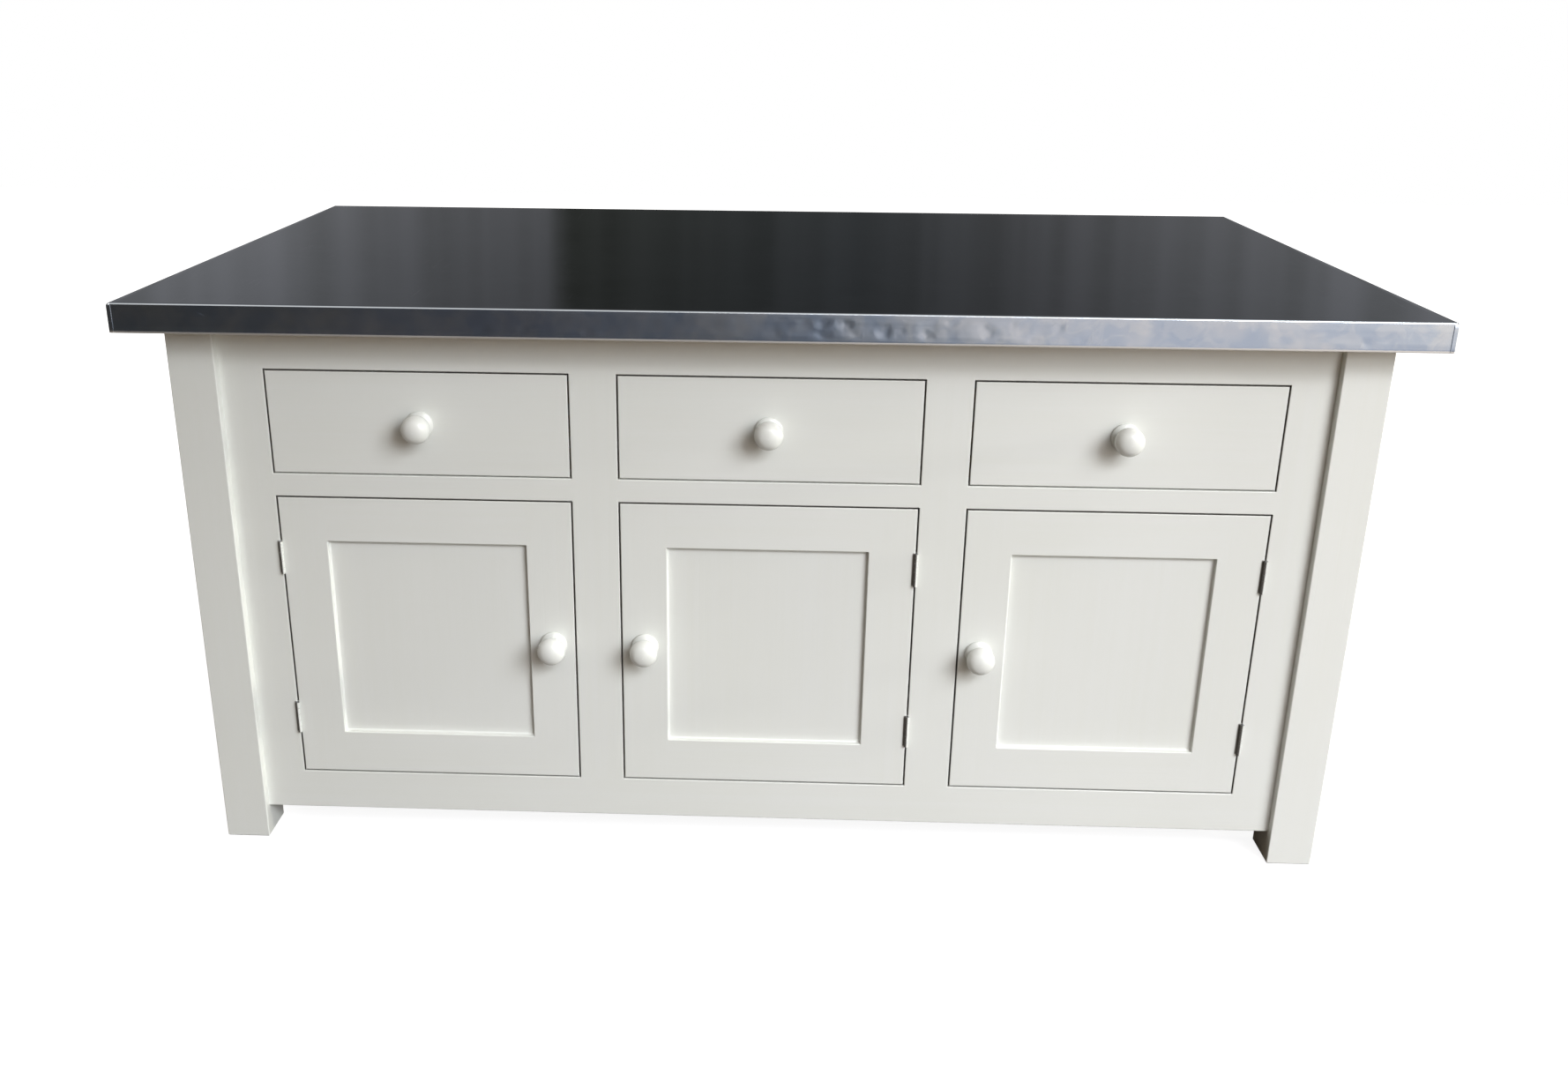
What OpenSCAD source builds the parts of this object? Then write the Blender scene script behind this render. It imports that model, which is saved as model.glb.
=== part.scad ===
// Kitchen island unit: four posts, a front frame with three inset drawers over three
// inset doors, panelled ends and back, and a worktop of zinc sheet folded round a board.
// Millimetres. X runs along the front, Y from front to back, Z up from the floor.

/* [Overall] */
// Height of the worktop above the floor
unit_h = 900; // [850:5:1000]
// Length of the worktop from end to end
top_w = 1870; // [1600:10:2200]
// Depth of the worktop from front to back
top_d = 1040; // [900:10:1200]
// Thickness of the finished worktop
top_t = 40; // [32:1:55]
// Overhang of the worktop past the posts on all four sides
overhang = 53; // [30:1:75]

/* [Zinc skin] */
// Thickness of the zinc sheet
zinc_t = 1; // [0.7:0.1:1.4]
// Width of the hem turned back under the board
hem_w = 12; // [8:1:20]
// Radius of the fold along the top edges
fold_r = 2.5; // [2:0.5:5]
// Width of the lap that each end apron folds round its corners
lap_w = 6; // [4:1:15]
// Thickness of that lap, dressed flat
lap_t = 0.6; // [0.4:0.1:1]

/* [Posts] */
// Side of the square posts
post_w = 69; // [60:1:85]
// Height of the feet below the rails
foot_h = 51; // [30:1:80]
// Chamfer round the sole of each foot
foot_chamfer = 2; // [1:0.5:4]

/* [Frames] */
// Thickness of rails and stiles
frame_t = 22; // [20:1:26]
// Depth of the frame faces behind the faces of the posts
frame_recess = 14; // [8:1:20]
// Width of the stiles beside the front posts
end_stile_w = 65; // [50:1:80]
// Width of the mullions between the bays
mullion_w = 70; // [60:1:85]
// Height of the top rails
top_rail_h = 70; // [62:1:85]
// Height of the rails between drawers and doors
middle_rail_h = 36; // [30:1:50]
// Height of the bottom rails
bottom_rail_h = 67; // [55:1:80]
// Height of the drawer openings
drawer_opening_h = 162; // [140:1:185]
// Width of the muntins in the ends and back
muntin_w = 70; // [50:1:90]
// Panels in each end
side_panel_count = 2; // [2:1:3]
// Panels in the back
back_panel_count = 3; // [2:1:4]
// Thickness of panels, tongues and tenons
panel_t = 8; // [6:1:10]
// Depth of grooves and mortises
groove_d = 10; // [8:1:13]
// Shoulder beside each stub tenon
shoulder_w = 10; // [6:1:12]
// Glue line left in every joint
glue_gap = 0.1; // [0.05:0.05:0.25]
// Radius of the eased edges
arris = 1.6; // [0.6:0.2:2]

/* [Inside] */
// Thickness of the plywood uprights, floor and shelves
board_t = 18; // [15:1:22]
// Height of the shelves above the cupboard floor
shelf_up = 215; // [150:5:300]
// Distance of the shelf edge behind the front frame
shelf_setback = 30; // [10:5:80]
// Play at each end of a shelf
shelf_play = 1; // [0.5:0.5:3]
// Diameter of the shelf pins
shelf_pin_d = 5; // [4:0.5:7]
// Depth of the pin holes
pin_hole_d = 7; // [5:0.5:7]
// Length of pin that stands out under the shelf
pin_out = 10; // [8:1:15]
// Spacing of the pin holes one above the other
pin_pitch = 50; // [30:2:64]
// Distance of the pins from the shelf's front and back edges
pin_inset = 60; // [40:5:120]

/* [Drawers] */
// Gap round every drawer front and door
front_gap = 2; // [1.5:0.5:3]
// Thickness of the drawer fronts
drawer_front_t = 20; // [18:1:24]
// Length of a drawer from its face to its back
drawer_l = 600; // [450:10:750]
// Thickness of drawer sides and backs
box_t = 12; // [10:1:14]
// Height that a drawer box loses below the top of its front
box_drop = 3; // [2:1:15]
// Thickness of the drawer bottoms
drawer_bottom_t = 6; // [4:1:8]
// Height of the drawer bottoms above the lower edge
bottom_up = 9; // [7:1:14]
// Depth of the grooves that hold the bottoms
bottom_groove_d = 6; // [4:1:7]
// Timber left in front of the lapped dovetails
dovetail_lap = 6; // [4:1:8]
// Dovetails at each drawer corner
tail_count = 3; // [2:1:4]
// Share of the corner's height that the tails take at their root
tail_share = 0.6; // [0.45:0.05:0.65]
// Slope of the dovetails in degrees
tail_slope = 8; // [5:1:10]

/* [Drawer runners] */
// Width of bearer under each drawer side, inwards of the opening
bearer_in = 14; // [8:1:16]
// Thickness of the bearers
bearer_h = 20; // [14:1:28]
// Height of the guides beside the drawer sides
guide_h = 40; // [25:1:60]
// Running gap under the drawer sides
slide_gap = 0.3; // [0.2:0.1:0.6]
// Running gap beside the drawer sides
guide_gap = 1; // [0.5:0.1:1.4]
// Running gap above the drawer sides
kick_gap = 2; // [1:0.5:4]
// Thickness of the kickers above the drawer sides
kicker_h = 25; // [15:1:35]
// Length of the stop at the back of each runner
stop_l = 20; // [10:1:40]
// Gap between a closed drawer and its stop
stop_gap = 0.3; // [0.2:0.1:1]

/* [Doors] */
// Thickness of the doors
door_t = 22; // [20:1:26]
// Width of the door stiles and rails
door_frame_w = 71; // [60:1:85]
// Thickness of the door panels
door_panel_t = 6; // [5:1:9]
// Depth of the grooves that hold the door panels
door_groove_d = 8; // [6:1:12]

/* [Hinges] */
// Length of a butt hinge
hinge_l = 53; // [40:1:70]
// Width of each leaf behind the face
leaf_w = 17; // [12:1:19]
// Thickness of each leaf
leaf_t = 1.2; // [1:0.1:1.5]
// Gap between the closed leaves
leaf_gap = 0.4; // [0.2:0.1:0.6]
// Radius of the knuckles
knuckle_r = 3; // [2.5:0.1:4]
// Knuckles in a hinge
knuckle_count = 5; // [3:2:7]
// Gap between neighbouring knuckles
knuckle_gap = 0.2; // [0.1:0.1:0.5]
// Gap between the knuckles and the faces of door and frame
knuckle_off = 0.1; // [0.05:0.05:0.5]
// Radius of the hinge pin
hinge_pin_r = 1.25; // [1:0.05:1.5]
// Running clearance round the hinge pin
pin_play = 0.05; // [0.02:0.01:0.1]
// Radius of the pin's riveted ends
pin_head_r = 2.2; // [1.8:0.1:2.4]
// Thickness of the pin's riveted ends
pin_head_t = 0.8; // [0.5:0.1:1.5]

/* [Catches] */
// Width of the magnetic catches
catch_w = 36; // [24:1:44]
// Depth of the magnetic catches
catch_d = 14; // [10:1:20]
// Height of the part screwed to the rail
catch_up = 12; // [8:1:15]
// Height of the part that hangs below the rail
catch_drop = 12; // [8:1:18]
// Gap between the magnet and its plate
magnet_gap = 0.3; // [0.2:0.1:0.8]
// Width of the steel plate on the door
plate_w = 30; // [20:1:40]
// Height of that plate
plate_h = 10; // [7:1:16]
// Thickness of that plate
plate_t = 1.2; // [1:0.1:2]

/* [Knobs] */
// Diameter of the knob's head
knob_d = 43; // [38:1:50]
// How far the knob stands out from its face
knob_l = 45; // [41:1:55]
// Diameter of the knob's foot
knob_foot_d = 42; // [34:1:48]
// Thickness of the knob's foot
knob_foot_t = 5; // [3:0.5:7]
// Diameter of the knob's neck
knob_neck_d = 22; // [16:1:26]
// Radius of the cove between foot and neck
knob_cove_r = 4; // [2:0.5:5]
// Radius of the rounded rim of the head
knob_rim_r = 16.5; // [14:0.5:18]
// Radius of the domed front of the head
knob_dome_r = 30; // [27:1:40]
// Diameter of the knob screw
knob_screw_d = 4; // [3:0.5:5]
// Length of that screw inside the knob
knob_screw_in = 15; // [10:1:22]
// Diameter of the screw heads
screw_head_d = 9; // [7:0.5:10]
// Thickness of the screw heads
screw_head_t = 2.5; // [1.5:0.5:4]
// Play round a screw in its clearance hole
screw_play = 0.3; // [0.2:0.1:0.6]
// How far right of the middle the left, centre and right drawers' knobs sit
drawer_knob_off = [2.5, -1.5, -3];
// How far right of their stile's middle the left, centre and right doors' knobs sit
door_knob_off = [2, 0, -4.5];

/* [Worktop fixings] */
// Side of the square fixing blocks
block_w = 30; // [24:1:36]
// Diameter of the screws up through the blocks
top_screw_d = 4; // [3:0.5:5]
// Length of those screws inside the worktop board
top_screw_in = 20; // [12:1:25]

/* [Hidden] */

paint = "#d6d7d0";
zinc = "#4c5054";
ply = "#c9a36b";
oak = "#c2a27a";
steel = "#9a9da0";

over = 1;            // how far a cut runs past the face that it opens
round_fn = 32;       // sides of a circle; each one is a true arc in the finished solid

// The three bays, by the sign of their place along the front
LEFT = -1;
CENTRE = 0;
RIGHT = 1;
bays = [LEFT, CENTRE, RIGHT];

// Carcass inside the posts, under the board
body_w = top_w - 2 * overhang;
body_d = top_d - 2 * overhang;
carcass_h = unit_h - top_t + zinc_t;
inner_x = body_w / 2 - post_w;
inner_y = body_d / 2 - post_w;
groove_w = panel_t + 2 * glue_gap;

// Levels of the openings
drawer_z1 = carcass_h - top_rail_h;
drawer_z0 = drawer_z1 - drawer_opening_h;
door_z1 = drawer_z0 - middle_rail_h;
door_z0 = foot_h + bottom_rail_h;

// Front frame
front_y = frame_recess - body_d / 2;
frame_back_y = front_y + frame_t;
tongue_y = front_y + (frame_t - panel_t) / 2;
opening_w = (2 * inner_x - 2 * end_stile_w - 2 * mullion_w) / 3;
bay_pitch = opening_w + mullion_w;
uprights = [[-inner_x, end_stile_w], [-(bay_pitch + mullion_w) / 2, mullion_w],
    [(bay_pitch - mullion_w) / 2, mullion_w], [inner_x - end_stile_w, end_stile_w]];

// Ends and back: panels between the posts, and the plane of their tongues
panel_y0 = (frame_t - panel_t) / 2 + frame_recess;

// Bays between the plywood uprights, and the outer face of the outermost ones
runner_pack = (mullion_w - board_t) / 2;
bay_half = opening_w / 2 + runner_pack;
lining_x = bay_pitch + bay_half + board_t;
inside_d = body_d - 2 * (frame_recess + frame_t);

// Shelves
shelf_z = door_z0 + shelf_up;
pin_z = shelf_z - shelf_pin_d / 2;
shelf_y0 = frame_back_y + shelf_setback;
shelf_y1 = -frame_back_y;
pin_ys = [shelf_y0 + pin_inset, shelf_y1 - pin_inset];

// Drawers
drawer_w = opening_w - 2 * front_gap;
front_h = drawer_opening_h - 2 * front_gap;
box_z = drawer_z0 + front_gap;
box_h = front_h - box_drop;
box_back_z = box_z + bottom_up + drawer_bottom_t;
box_back_h = box_h - bottom_up - drawer_bottom_t;
box_y0 = front_y + drawer_front_t;
box_y1 = front_y + drawer_l;
lap_tail_l = drawer_front_t - dovetail_lap;
runner_z = box_z - slide_gap;
kick_z = box_z + box_h + kick_gap;
runner_y1 = box_y1 + stop_gap + stop_l;

// Doors, hinges and catches
door_w = opening_w - 2 * front_gap;
door_h = door_z1 - door_z0 - 2 * front_gap;
door_back_y = front_y + door_t;
door_groove_w = door_panel_t + 2 * glue_gap;
knuckle_y = front_y - knuckle_off - knuckle_r;
leaf_y0 = knuckle_r + leaf_gap;
leaf_y1 = knuckle_r + knuckle_off + leaf_w;
leaf_x = leaf_gap / 2;
leaf_sink = leaf_x + leaf_t - front_gap / 2;
knuckle_l = hinge_l / knuckle_count;
hinge_zs = [door_z0 + front_gap + door_frame_w + hinge_l / 2,
    door_z1 - front_gap - door_frame_w - hinge_l / 2];
knob_z = (door_z0 + door_z1) / 2;

// Worktop fixings: [x, y] of each block's screw, inside the rails
fix_x = body_w / 2 - frame_recess - frame_t - block_w / 2;
fix_y = inside_d / 2 - block_w / 2;
fixings = concat([for (i = bays, s = [-1, 1]) [i * bay_pitch, s * fix_y]],
    [for (s = [-1, 1]) [s * fix_x, 0]]);

// Doors hang on their outer side, except the centre one, which hangs on its right
function hinge_side(i) = i == LEFT ? -1 : 1;
function closing_x(i) = i * bay_pitch - hinge_side(i) * (door_w - door_frame_w) / 2;

// ---- Shared cuts and joints ----

// A cut that rounds an edge running up Z from the origin, with timber at -X and +Y
module arris_cut(l)
    linear_extrude(l) difference() {
        translate([-arris, -over]) square([arris + over, arris + over]);
        translate([-arris, arris]) circle(arris, $fn = round_fn);
    }

// Rounds an upright edge of a face at y; the timber lies to its right where right is 1
module arris_z(x, y, z0, z1, right)
    translate([x, y, z0]) mirror([right, 0, 0]) arris_cut(z1 - z0);

// Rounds a level edge of a face at y; the timber lies above it where above is 1
module arris_x(x0, x1, y, z, above)
    translate([x1, y, z]) mirror([0, 0, above]) rotate([0, -90, 0]) arris_cut(x1 - x0);

// Rounds the edges of the timber round an opening in the face at y
module opening_ring(x0, x1, z0, z1, y)
    for (m = [0, 1]) {
        arris_z(m ? x1 : x0, y, z0, z1, m);
        arris_x(x0, x1, y, m ? z1 : z0, m);
    }

// Rounds the edges of a board whose face is at y
module board_ring(x0, x1, z0, z1, y)
    for (m = [0, 1]) {
        arris_z(m ? x0 : x1, y, z0 - over, z1 + over, m);
        arris_x(x0 - over, x1 + over, y, m ? z0 : z1, m);
    }

// A tongue in the plane of the front frame, grown by g on every side for its mortise
module tongue(x, z, w, h, g = 0)
    translate([x - g, tongue_y - g, z - g]) cube([w + 2 * g, panel_t + 2 * g, h + 2 * g]);

// Stub tenons at both ends of the front frame's uprights
module upright_tenons(g = 0)
    for (u = uprights, z = [door_z0 - groove_d + glue_gap, drawer_z1 - over])
        tongue(u[0] + shoulder_w, z, u[1] - 2 * shoulder_w, groove_d - glue_gap + over, g);

// Stub tenons at both ends of the middle rails
module middle_rail_tenons(g = 0)
    for (i = bays)
        tongue(i * bay_pitch - opening_w / 2 - groove_d + glue_gap, door_z1 + shoulder_w,
            opening_w + 2 * (groove_d - glue_gap), middle_rail_h - 2 * shoulder_w, g);

// Eased edges round the drawer and door openings
module opening_edges()
    for (i = bays, z = [[drawer_z0, drawer_z1], [door_z0, door_z1]])
        opening_ring(i * bay_pitch - opening_w / 2, i * bay_pitch + opening_w / 2,
            z[0], z[1], front_y);

// Puts a hinge on its axis, with its door at +X
module at_hinge(i, z)
    translate([i * bay_pitch + hinge_side(i) * (opening_w - front_gap) / 2, knuckle_y, z])
        mirror([hinge_side(i) > 0 ? 1 : 0, 0, 0]) children();

// Shallow seats for the hinge leaves, in the frame (side = -1) or in the doors (side = 1)
module leaf_seats(i, side)
    for (z = hinge_zs) at_hinge(i, z)
        translate([side > 0 ? front_gap / 2 - over : -front_gap / 2 - leaf_sink - glue_gap,
            knuckle_r + knuckle_off - over, -hinge_l / 2 - glue_gap])
            cube([leaf_sink + glue_gap + over, leaf_w + glue_gap + over,
                hinge_l + 2 * glue_gap]);

// ---- Worktop ----

// Section with a flat sole and rounded top corners
module folded_section(w, h, r) {
    translate([-w / 2, 0]) square([w, h - r]);
    translate([r - w / 2, 0]) square([w - 2 * r, h]);
    for (s = [-1, 1]) translate([s * (w / 2 - r), h - r]) circle(r, $fn = round_fn);
}

// Block with its top edges rounded on all four sides
module folded_block(w, d, h, r)
    intersection() {
        rotate([90, 0, 0]) linear_extrude(d, center = true) folded_section(w, h, r);
        rotate([90, 0, 90]) linear_extrude(w, center = true) folded_section(d, h, r);
    }

// Sheet folded down and hemmed under the board, with the corner laps front and back
module zinc_top() {
    lap_h = top_t - fold_r;
    color(zinc) translate([0, 0, unit_h - top_t]) difference() {
        union() {
            folded_block(top_w, top_d, top_t, fold_r);
            for (sx = [-1, 1], sy = [-1, 1])
                translate([sx * (top_w - lap_w) / 2, sy * (top_d / 2 + lap_t - lap_w / 2),
                    lap_h / 2]) cube([lap_w, lap_w, lap_h], center = true);
        }
        translate([0, 0, zinc_t]) folded_block(top_w - 2 * zinc_t, top_d - 2 * zinc_t,
            top_t - 2 * zinc_t, fold_r - zinc_t);
        cube([top_w - 2 * (zinc_t + hem_w), top_d - 2 * (zinc_t + hem_w),
            2 * (zinc_t + over)], center = true);
    }
}

// Board that the sheet is folded round, bored for the screws of its fixing blocks
module worktop_board()
    color(ply) difference() {
        translate([0, 0, carcass_h]) folded_block(top_w - 2 * (zinc_t + glue_gap),
            top_d - 2 * (zinc_t + glue_gap), top_t - 2 * zinc_t, fold_r);
        for (p = fixings) translate([p[0], p[1], carcass_h - over])
            cylinder(h = top_screw_in + glue_gap + over, d = top_screw_d + 2 * pin_play,
                $fn = round_fn);
    }

// ---- Posts ----

// Front left post, grooved for the frames; the others are its mirror images
module post() {
    x0 = -body_w / 2;
    y0 = -body_d / 2;
    groove_in = frame_recess + (frame_t - groove_w) / 2;
    groove_h = carcass_h - foot_h + glue_gap + over;
    color(paint) difference() {
        translate([x0, y0, 0]) cube([post_w, post_w, carcass_h]);
        translate([x0 + post_w - groove_d, y0 + groove_in, foot_h - glue_gap])
            cube([groove_d + over, groove_w, groove_h]);
        translate([x0 + groove_in, y0 + post_w - groove_d, foot_h - glue_gap])
            cube([groove_w, groove_d + over, groove_h]);
        translate([x0 + post_w / 2, y0 + post_w / 2, 0]) for (a = [0 : 90 : 270])
            rotate([0, 0, a]) translate([post_w / 2, -post_w / 2, 0]) {
                translate([0, 0, -over]) arris_cut(carcass_h + 2 * over);
                translate([-foot_chamfer, 0, 0]) rotate([0, -45, 0])
                    translate([-over, -over, -2 * foot_chamfer])
                        cube([2 * (foot_chamfer + over), post_w + 2 * over,
                            2 * foot_chamfer]);
            }
    }
}

module post_at(right, back)
    mirror([right, 0, 0]) mirror([0, back, 0]) post();

// ---- Front frame ----

// A rail across the front between the posts, tongued into them and mortised for the uprights
module front_rail(z, h)
    color(paint) difference() {
        union() {
            translate([-inner_x, front_y, z]) cube([2 * inner_x, frame_t, h]);
            tongue(-inner_x - groove_d + glue_gap, z, 2 * (inner_x + groove_d - glue_gap), h);
        }
        upright_tenons(glue_gap);
        opening_edges();
        arris_x(-inner_x, inner_x, front_y, foot_h, 1);
    }

// Upright number n of the front frame, from the left
module upright(n)
    difference() {
        union() {
            translate([uprights[n][0], front_y, door_z0])
                cube([uprights[n][1], frame_t, drawer_z1 - door_z0]);
            intersection() {
                upright_tenons();
                translate([uprights[n][0], front_y, 0])
                    cube([uprights[n][1], frame_t, carcass_h]);
            }
        }
        middle_rail_tenons(glue_gap);
        opening_edges();
        for (i = bays) leaf_seats(i, -1);
    }

// The stiles beside the posts, tongued into them along their outer edges
module front_end_stiles()
    color(paint) for (m = [0, 1]) mirror([m, 0, 0]) {
        upright(0);
        tongue(-inner_x - groove_d + glue_gap, door_z0, groove_d - glue_gap + over,
            drawer_z1 - door_z0);
    }

module front_mullions()
    color(paint) for (n = [1, 2]) upright(n);

module front_middle_rails()
    color(paint) difference() {
        union() {
            for (i = bays) translate([i * bay_pitch - opening_w / 2, front_y, door_z1])
                cube([opening_w, frame_t, middle_rail_h]);
            middle_rail_tenons();
        }
        opening_edges();
    }

// ---- Panelled ends and back ----
// Each is modelled as if it were the front of a body half deep, then turned to its place.

function clear_w(span, n) = (span - (n - 1) * muntin_w) / n;
function clear_x(span, n, k) = k * (clear_w(span, n) + muntin_w) - span / 2;

// Eased edges round the n panels of a frame
module panel_edges(span, half, n)
    for (k = [0 : n - 1])
        opening_ring(clear_x(span, n, k), clear_x(span, n, k) + clear_w(span, n),
            door_z0, drawer_z1, frame_recess - half);

// Top and bottom rails, with stub tenons in the posts and a groove for the panels
module panelled_rails(span, half, n)
    difference() {
        for (r = [[foot_h, bottom_rail_h, 0], [drawer_z1, top_rail_h, groove_d]]) {
            translate([-span / 2, frame_recess - half, r[0]]) cube([span, frame_t, r[1]]);
            translate([-span / 2 - groove_d + glue_gap, panel_y0 - half, r[0] + r[2]])
                cube([span + 2 * (groove_d - glue_gap), panel_t, r[1] - groove_d]);
        }
        translate([-span / 2 - groove_d, panel_y0 - glue_gap - half, door_z0 - groove_d])
            cube([span + 2 * groove_d, groove_w, drawer_z1 - door_z0 + 2 * groove_d]);
        panel_edges(span, half, n);
        arris_x(-span / 2, span / 2, frame_recess - half, foot_h, 1);
    }

// Muntins between the panels, grooved on both edges and tenoned into the rails
module panelled_muntins(span, half, n)
    difference() {
        for (k = [1 : n - 1]) translate([clear_x(span, n, k) - muntin_w, -half, 0]) {
            translate([0, frame_recess, door_z0])
                cube([muntin_w, frame_t, drawer_z1 - door_z0]);
            translate([groove_d, panel_y0, door_z0 - groove_d + glue_gap])
                cube([muntin_w - 2 * groove_d, panel_t,
                    drawer_z1 - door_z0 + 2 * (groove_d - glue_gap)]);
        }
        for (k = [0 : n - 1]) translate([clear_x(span, n, k) - groove_d,
            panel_y0 - glue_gap - half, door_z0 - groove_d])
            cube([clear_w(span, n) + 2 * groove_d, groove_w,
                drawer_z1 - door_z0 + 2 * groove_d]);
        panel_edges(span, half, n);
    }

// Flat panels, held in the grooves all round
module panelled_panels(span, half, n)
    for (k = [0 : n - 1])
        translate([clear_x(span, n, k) - groove_d + glue_gap, panel_y0 - half,
            door_z0 - groove_d + glue_gap])
            cube([clear_w(span, n) + 2 * (groove_d - glue_gap), panel_t,
                drawer_z1 - door_z0 + 2 * (groove_d - glue_gap)]);

module side_rails()
    color(paint) for (s = [-1, 1]) rotate([0, 0, 90 * s])
        panelled_rails(2 * inner_y, body_w / 2, side_panel_count);

module back_rails()
    color(paint) rotate([0, 0, 180])
        panelled_rails(2 * inner_x, body_d / 2, back_panel_count);

module muntins()
    color(paint) {
        for (s = [-1, 1]) rotate([0, 0, 90 * s])
            panelled_muntins(2 * inner_y, body_w / 2, side_panel_count);
        rotate([0, 0, 180])
            panelled_muntins(2 * inner_x, body_d / 2, back_panel_count);
    }

module side_panels()
    color(paint) for (s = [-1, 1]) rotate([0, 0, 90 * s])
        panelled_panels(2 * inner_y, body_w / 2, side_panel_count);

module back_panels()
    color(paint) rotate([0, 0, 180])
        panelled_panels(2 * inner_x, body_d / 2, back_panel_count);

// ---- Inside the carcass ----

// Floor of the cupboards, between the front and back frames
module base_board()
    color(ply) translate([-lining_x, frame_back_y, door_z0 - board_t])
        cube([2 * lining_x, inside_d, board_t]);

// A plywood upright centred on x, bored for the shelf pins
module ply_upright(x)
    color(ply) difference() {
        translate([x - board_t / 2, frame_back_y, door_z0])
            cube([board_t, inside_d, carcass_h - door_z0]);
        for (i = bays, s = [-1, 1], y = pin_ys, row = [-1, 0, 1])
            if (abs(i * bay_pitch + s * bay_half - x) < board_t)
                translate([i * bay_pitch + s * bay_half, y, pin_z + row * pin_pitch])
                    rotate([0, 90 * s, 0]) translate([0, 0, -over])
                        cylinder(h = pin_hole_d + over, d = shelf_pin_d + 2 * pin_play,
                            $fn = round_fn);
    }

module carcass_ends()
    for (s = [-1, 1]) ply_upright(s * (lining_x - board_t / 2));

module partitions()
    for (s = [-1, 1]) ply_upright(s * bay_pitch / 2);

// Shelves with an eased front edge
module shelves()
    color(ply) for (i = bays) difference() {
        translate([i * bay_pitch - bay_half + shelf_play, shelf_y0, shelf_z])
            cube([2 * (bay_half - shelf_play), shelf_y1 - shelf_y0, board_t]);
        for (m = [0, 1]) arris_x(i * bay_pitch - bay_half, i * bay_pitch + bay_half,
            shelf_y0, shelf_z + (m ? 0 : board_t), m);
    }

// Four plain steel pins under each shelf
module shelf_pins()
    color(steel) for (i = bays, s = [-1, 1], y = pin_ys)
        translate([i * bay_pitch + s * bay_half, y, pin_z]) rotate([0, 90 * s, 0])
            translate([0, 0, -pin_out])
                cylinder(h = pin_out + pin_hole_d - glue_gap, d = shelf_pin_d,
                    $fn = round_fn);

// Puts a part that is modelled against the face at X = 0 on both sides of every bay
module bay_sides()
    for (i = bays, m = [0, 1]) translate([i * bay_pitch, 0, 0]) mirror([m, 0, 0])
        translate([-bay_half, 0, 0]) children();

// Bearer under the drawer side, guide beside it and stop behind it
module drawer_runners() {
    l = runner_y1 - frame_back_y;
    color(oak) bay_sides() {
        translate([0, frame_back_y, runner_z - bearer_h])
            cube([runner_pack + bearer_in, l, bearer_h]);
        translate([0, frame_back_y, runner_z])
            cube([runner_pack + front_gap - guide_gap, l, guide_h]);
        translate([0, runner_y1 - stop_l, runner_z])
            cube([runner_pack + bearer_in, stop_l, guide_h]);
    }
}

// Bars above the drawer sides that keep an open drawer level
module drawer_kickers()
    color(oak) bay_sides() translate([0, frame_back_y, kick_z])
        cube([runner_pack + bearer_in, runner_y1 - frame_back_y, kicker_h]);

// Blocks in the corner of rails and worktop, each with a screw up into the board
module worktop_fixings()
    for (p = fixings) translate([p[0], p[1], carcass_h]) {
        color(oak) difference() {
            translate([-block_w / 2, -block_w / 2, -block_w]) cube(block_w);
            translate([0, 0, -block_w - over])
                cylinder(h = block_w + 2 * over, d = top_screw_d + 2 * screw_play,
                    $fn = round_fn);
        }
        color(steel) {
            translate([0, 0, -block_w - screw_head_t])
                cylinder(h = screw_head_t, d = screw_head_d, $fn = round_fn);
            translate([0, 0, -block_w - screw_head_t / 2])
                cylinder(h = block_w + top_screw_in + screw_head_t / 2, d = top_screw_d,
                    $fn = round_fn);
        }
    }

// ---- Hinges and catches ----

// One leaf of a butt hinge: its plate behind the face and its share of the knuckles
module hinge_leaf(side)
    difference() {
        union() {
            translate([side > 0 ? leaf_x : -leaf_x - leaf_t, leaf_y0, -hinge_l / 2])
                cube([leaf_t, leaf_y1 - leaf_y0, hinge_l]);
            for (k = [side > 0 ? 1 : 0 : 2 : knuckle_count - 1])
                translate([0, 0, k * knuckle_l - hinge_l / 2 + knuckle_gap / 2]) {
                    cylinder(h = knuckle_l - knuckle_gap, r = knuckle_r, $fn = round_fn);
                    translate([side > 0 ? leaf_x : -leaf_x - leaf_t, 0, 0])
                        cube([leaf_t, leaf_y0 + leaf_t, knuckle_l - knuckle_gap]);
                }
        }
        cylinder(h = hinge_l + 2 * over, r = hinge_pin_r + pin_play, center = true,
            $fn = round_fn);
    }

module hinge_frame_leaves()
    color(paint) for (i = bays, z = hinge_zs) at_hinge(i, z) hinge_leaf(-1);

// Pins with riveted ends, held in the frame leaves
module hinge_pins()
    color(steel) for (i = bays, z = hinge_zs) at_hinge(i, z) {
        cylinder(h = hinge_l + pin_head_t, r = hinge_pin_r, center = true, $fn = round_fn);
        for (m = [-1, 1]) translate([0, 0, m * (hinge_l + pin_head_t) / 2])
            cylinder(h = pin_head_t, r = pin_head_r, center = true, $fn = round_fn);
    }

// Magnet cases screwed behind the middle rails; each hangs down to meet its door's plate
module door_catches() {
    face_y = door_back_y + plate_t + magnet_gap;
    back_y = frame_back_y + catch_d;
    color("whitesmoke") for (i = bays) translate([closing_x(i) - catch_w / 2, 0, door_z1]) {
        translate([0, frame_back_y, 0]) cube([catch_w, catch_d, catch_up]);
        translate([0, face_y, -catch_drop]) cube([catch_w, back_y - face_y, catch_drop]);
    }
}

// ---- Knobs ----

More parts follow.
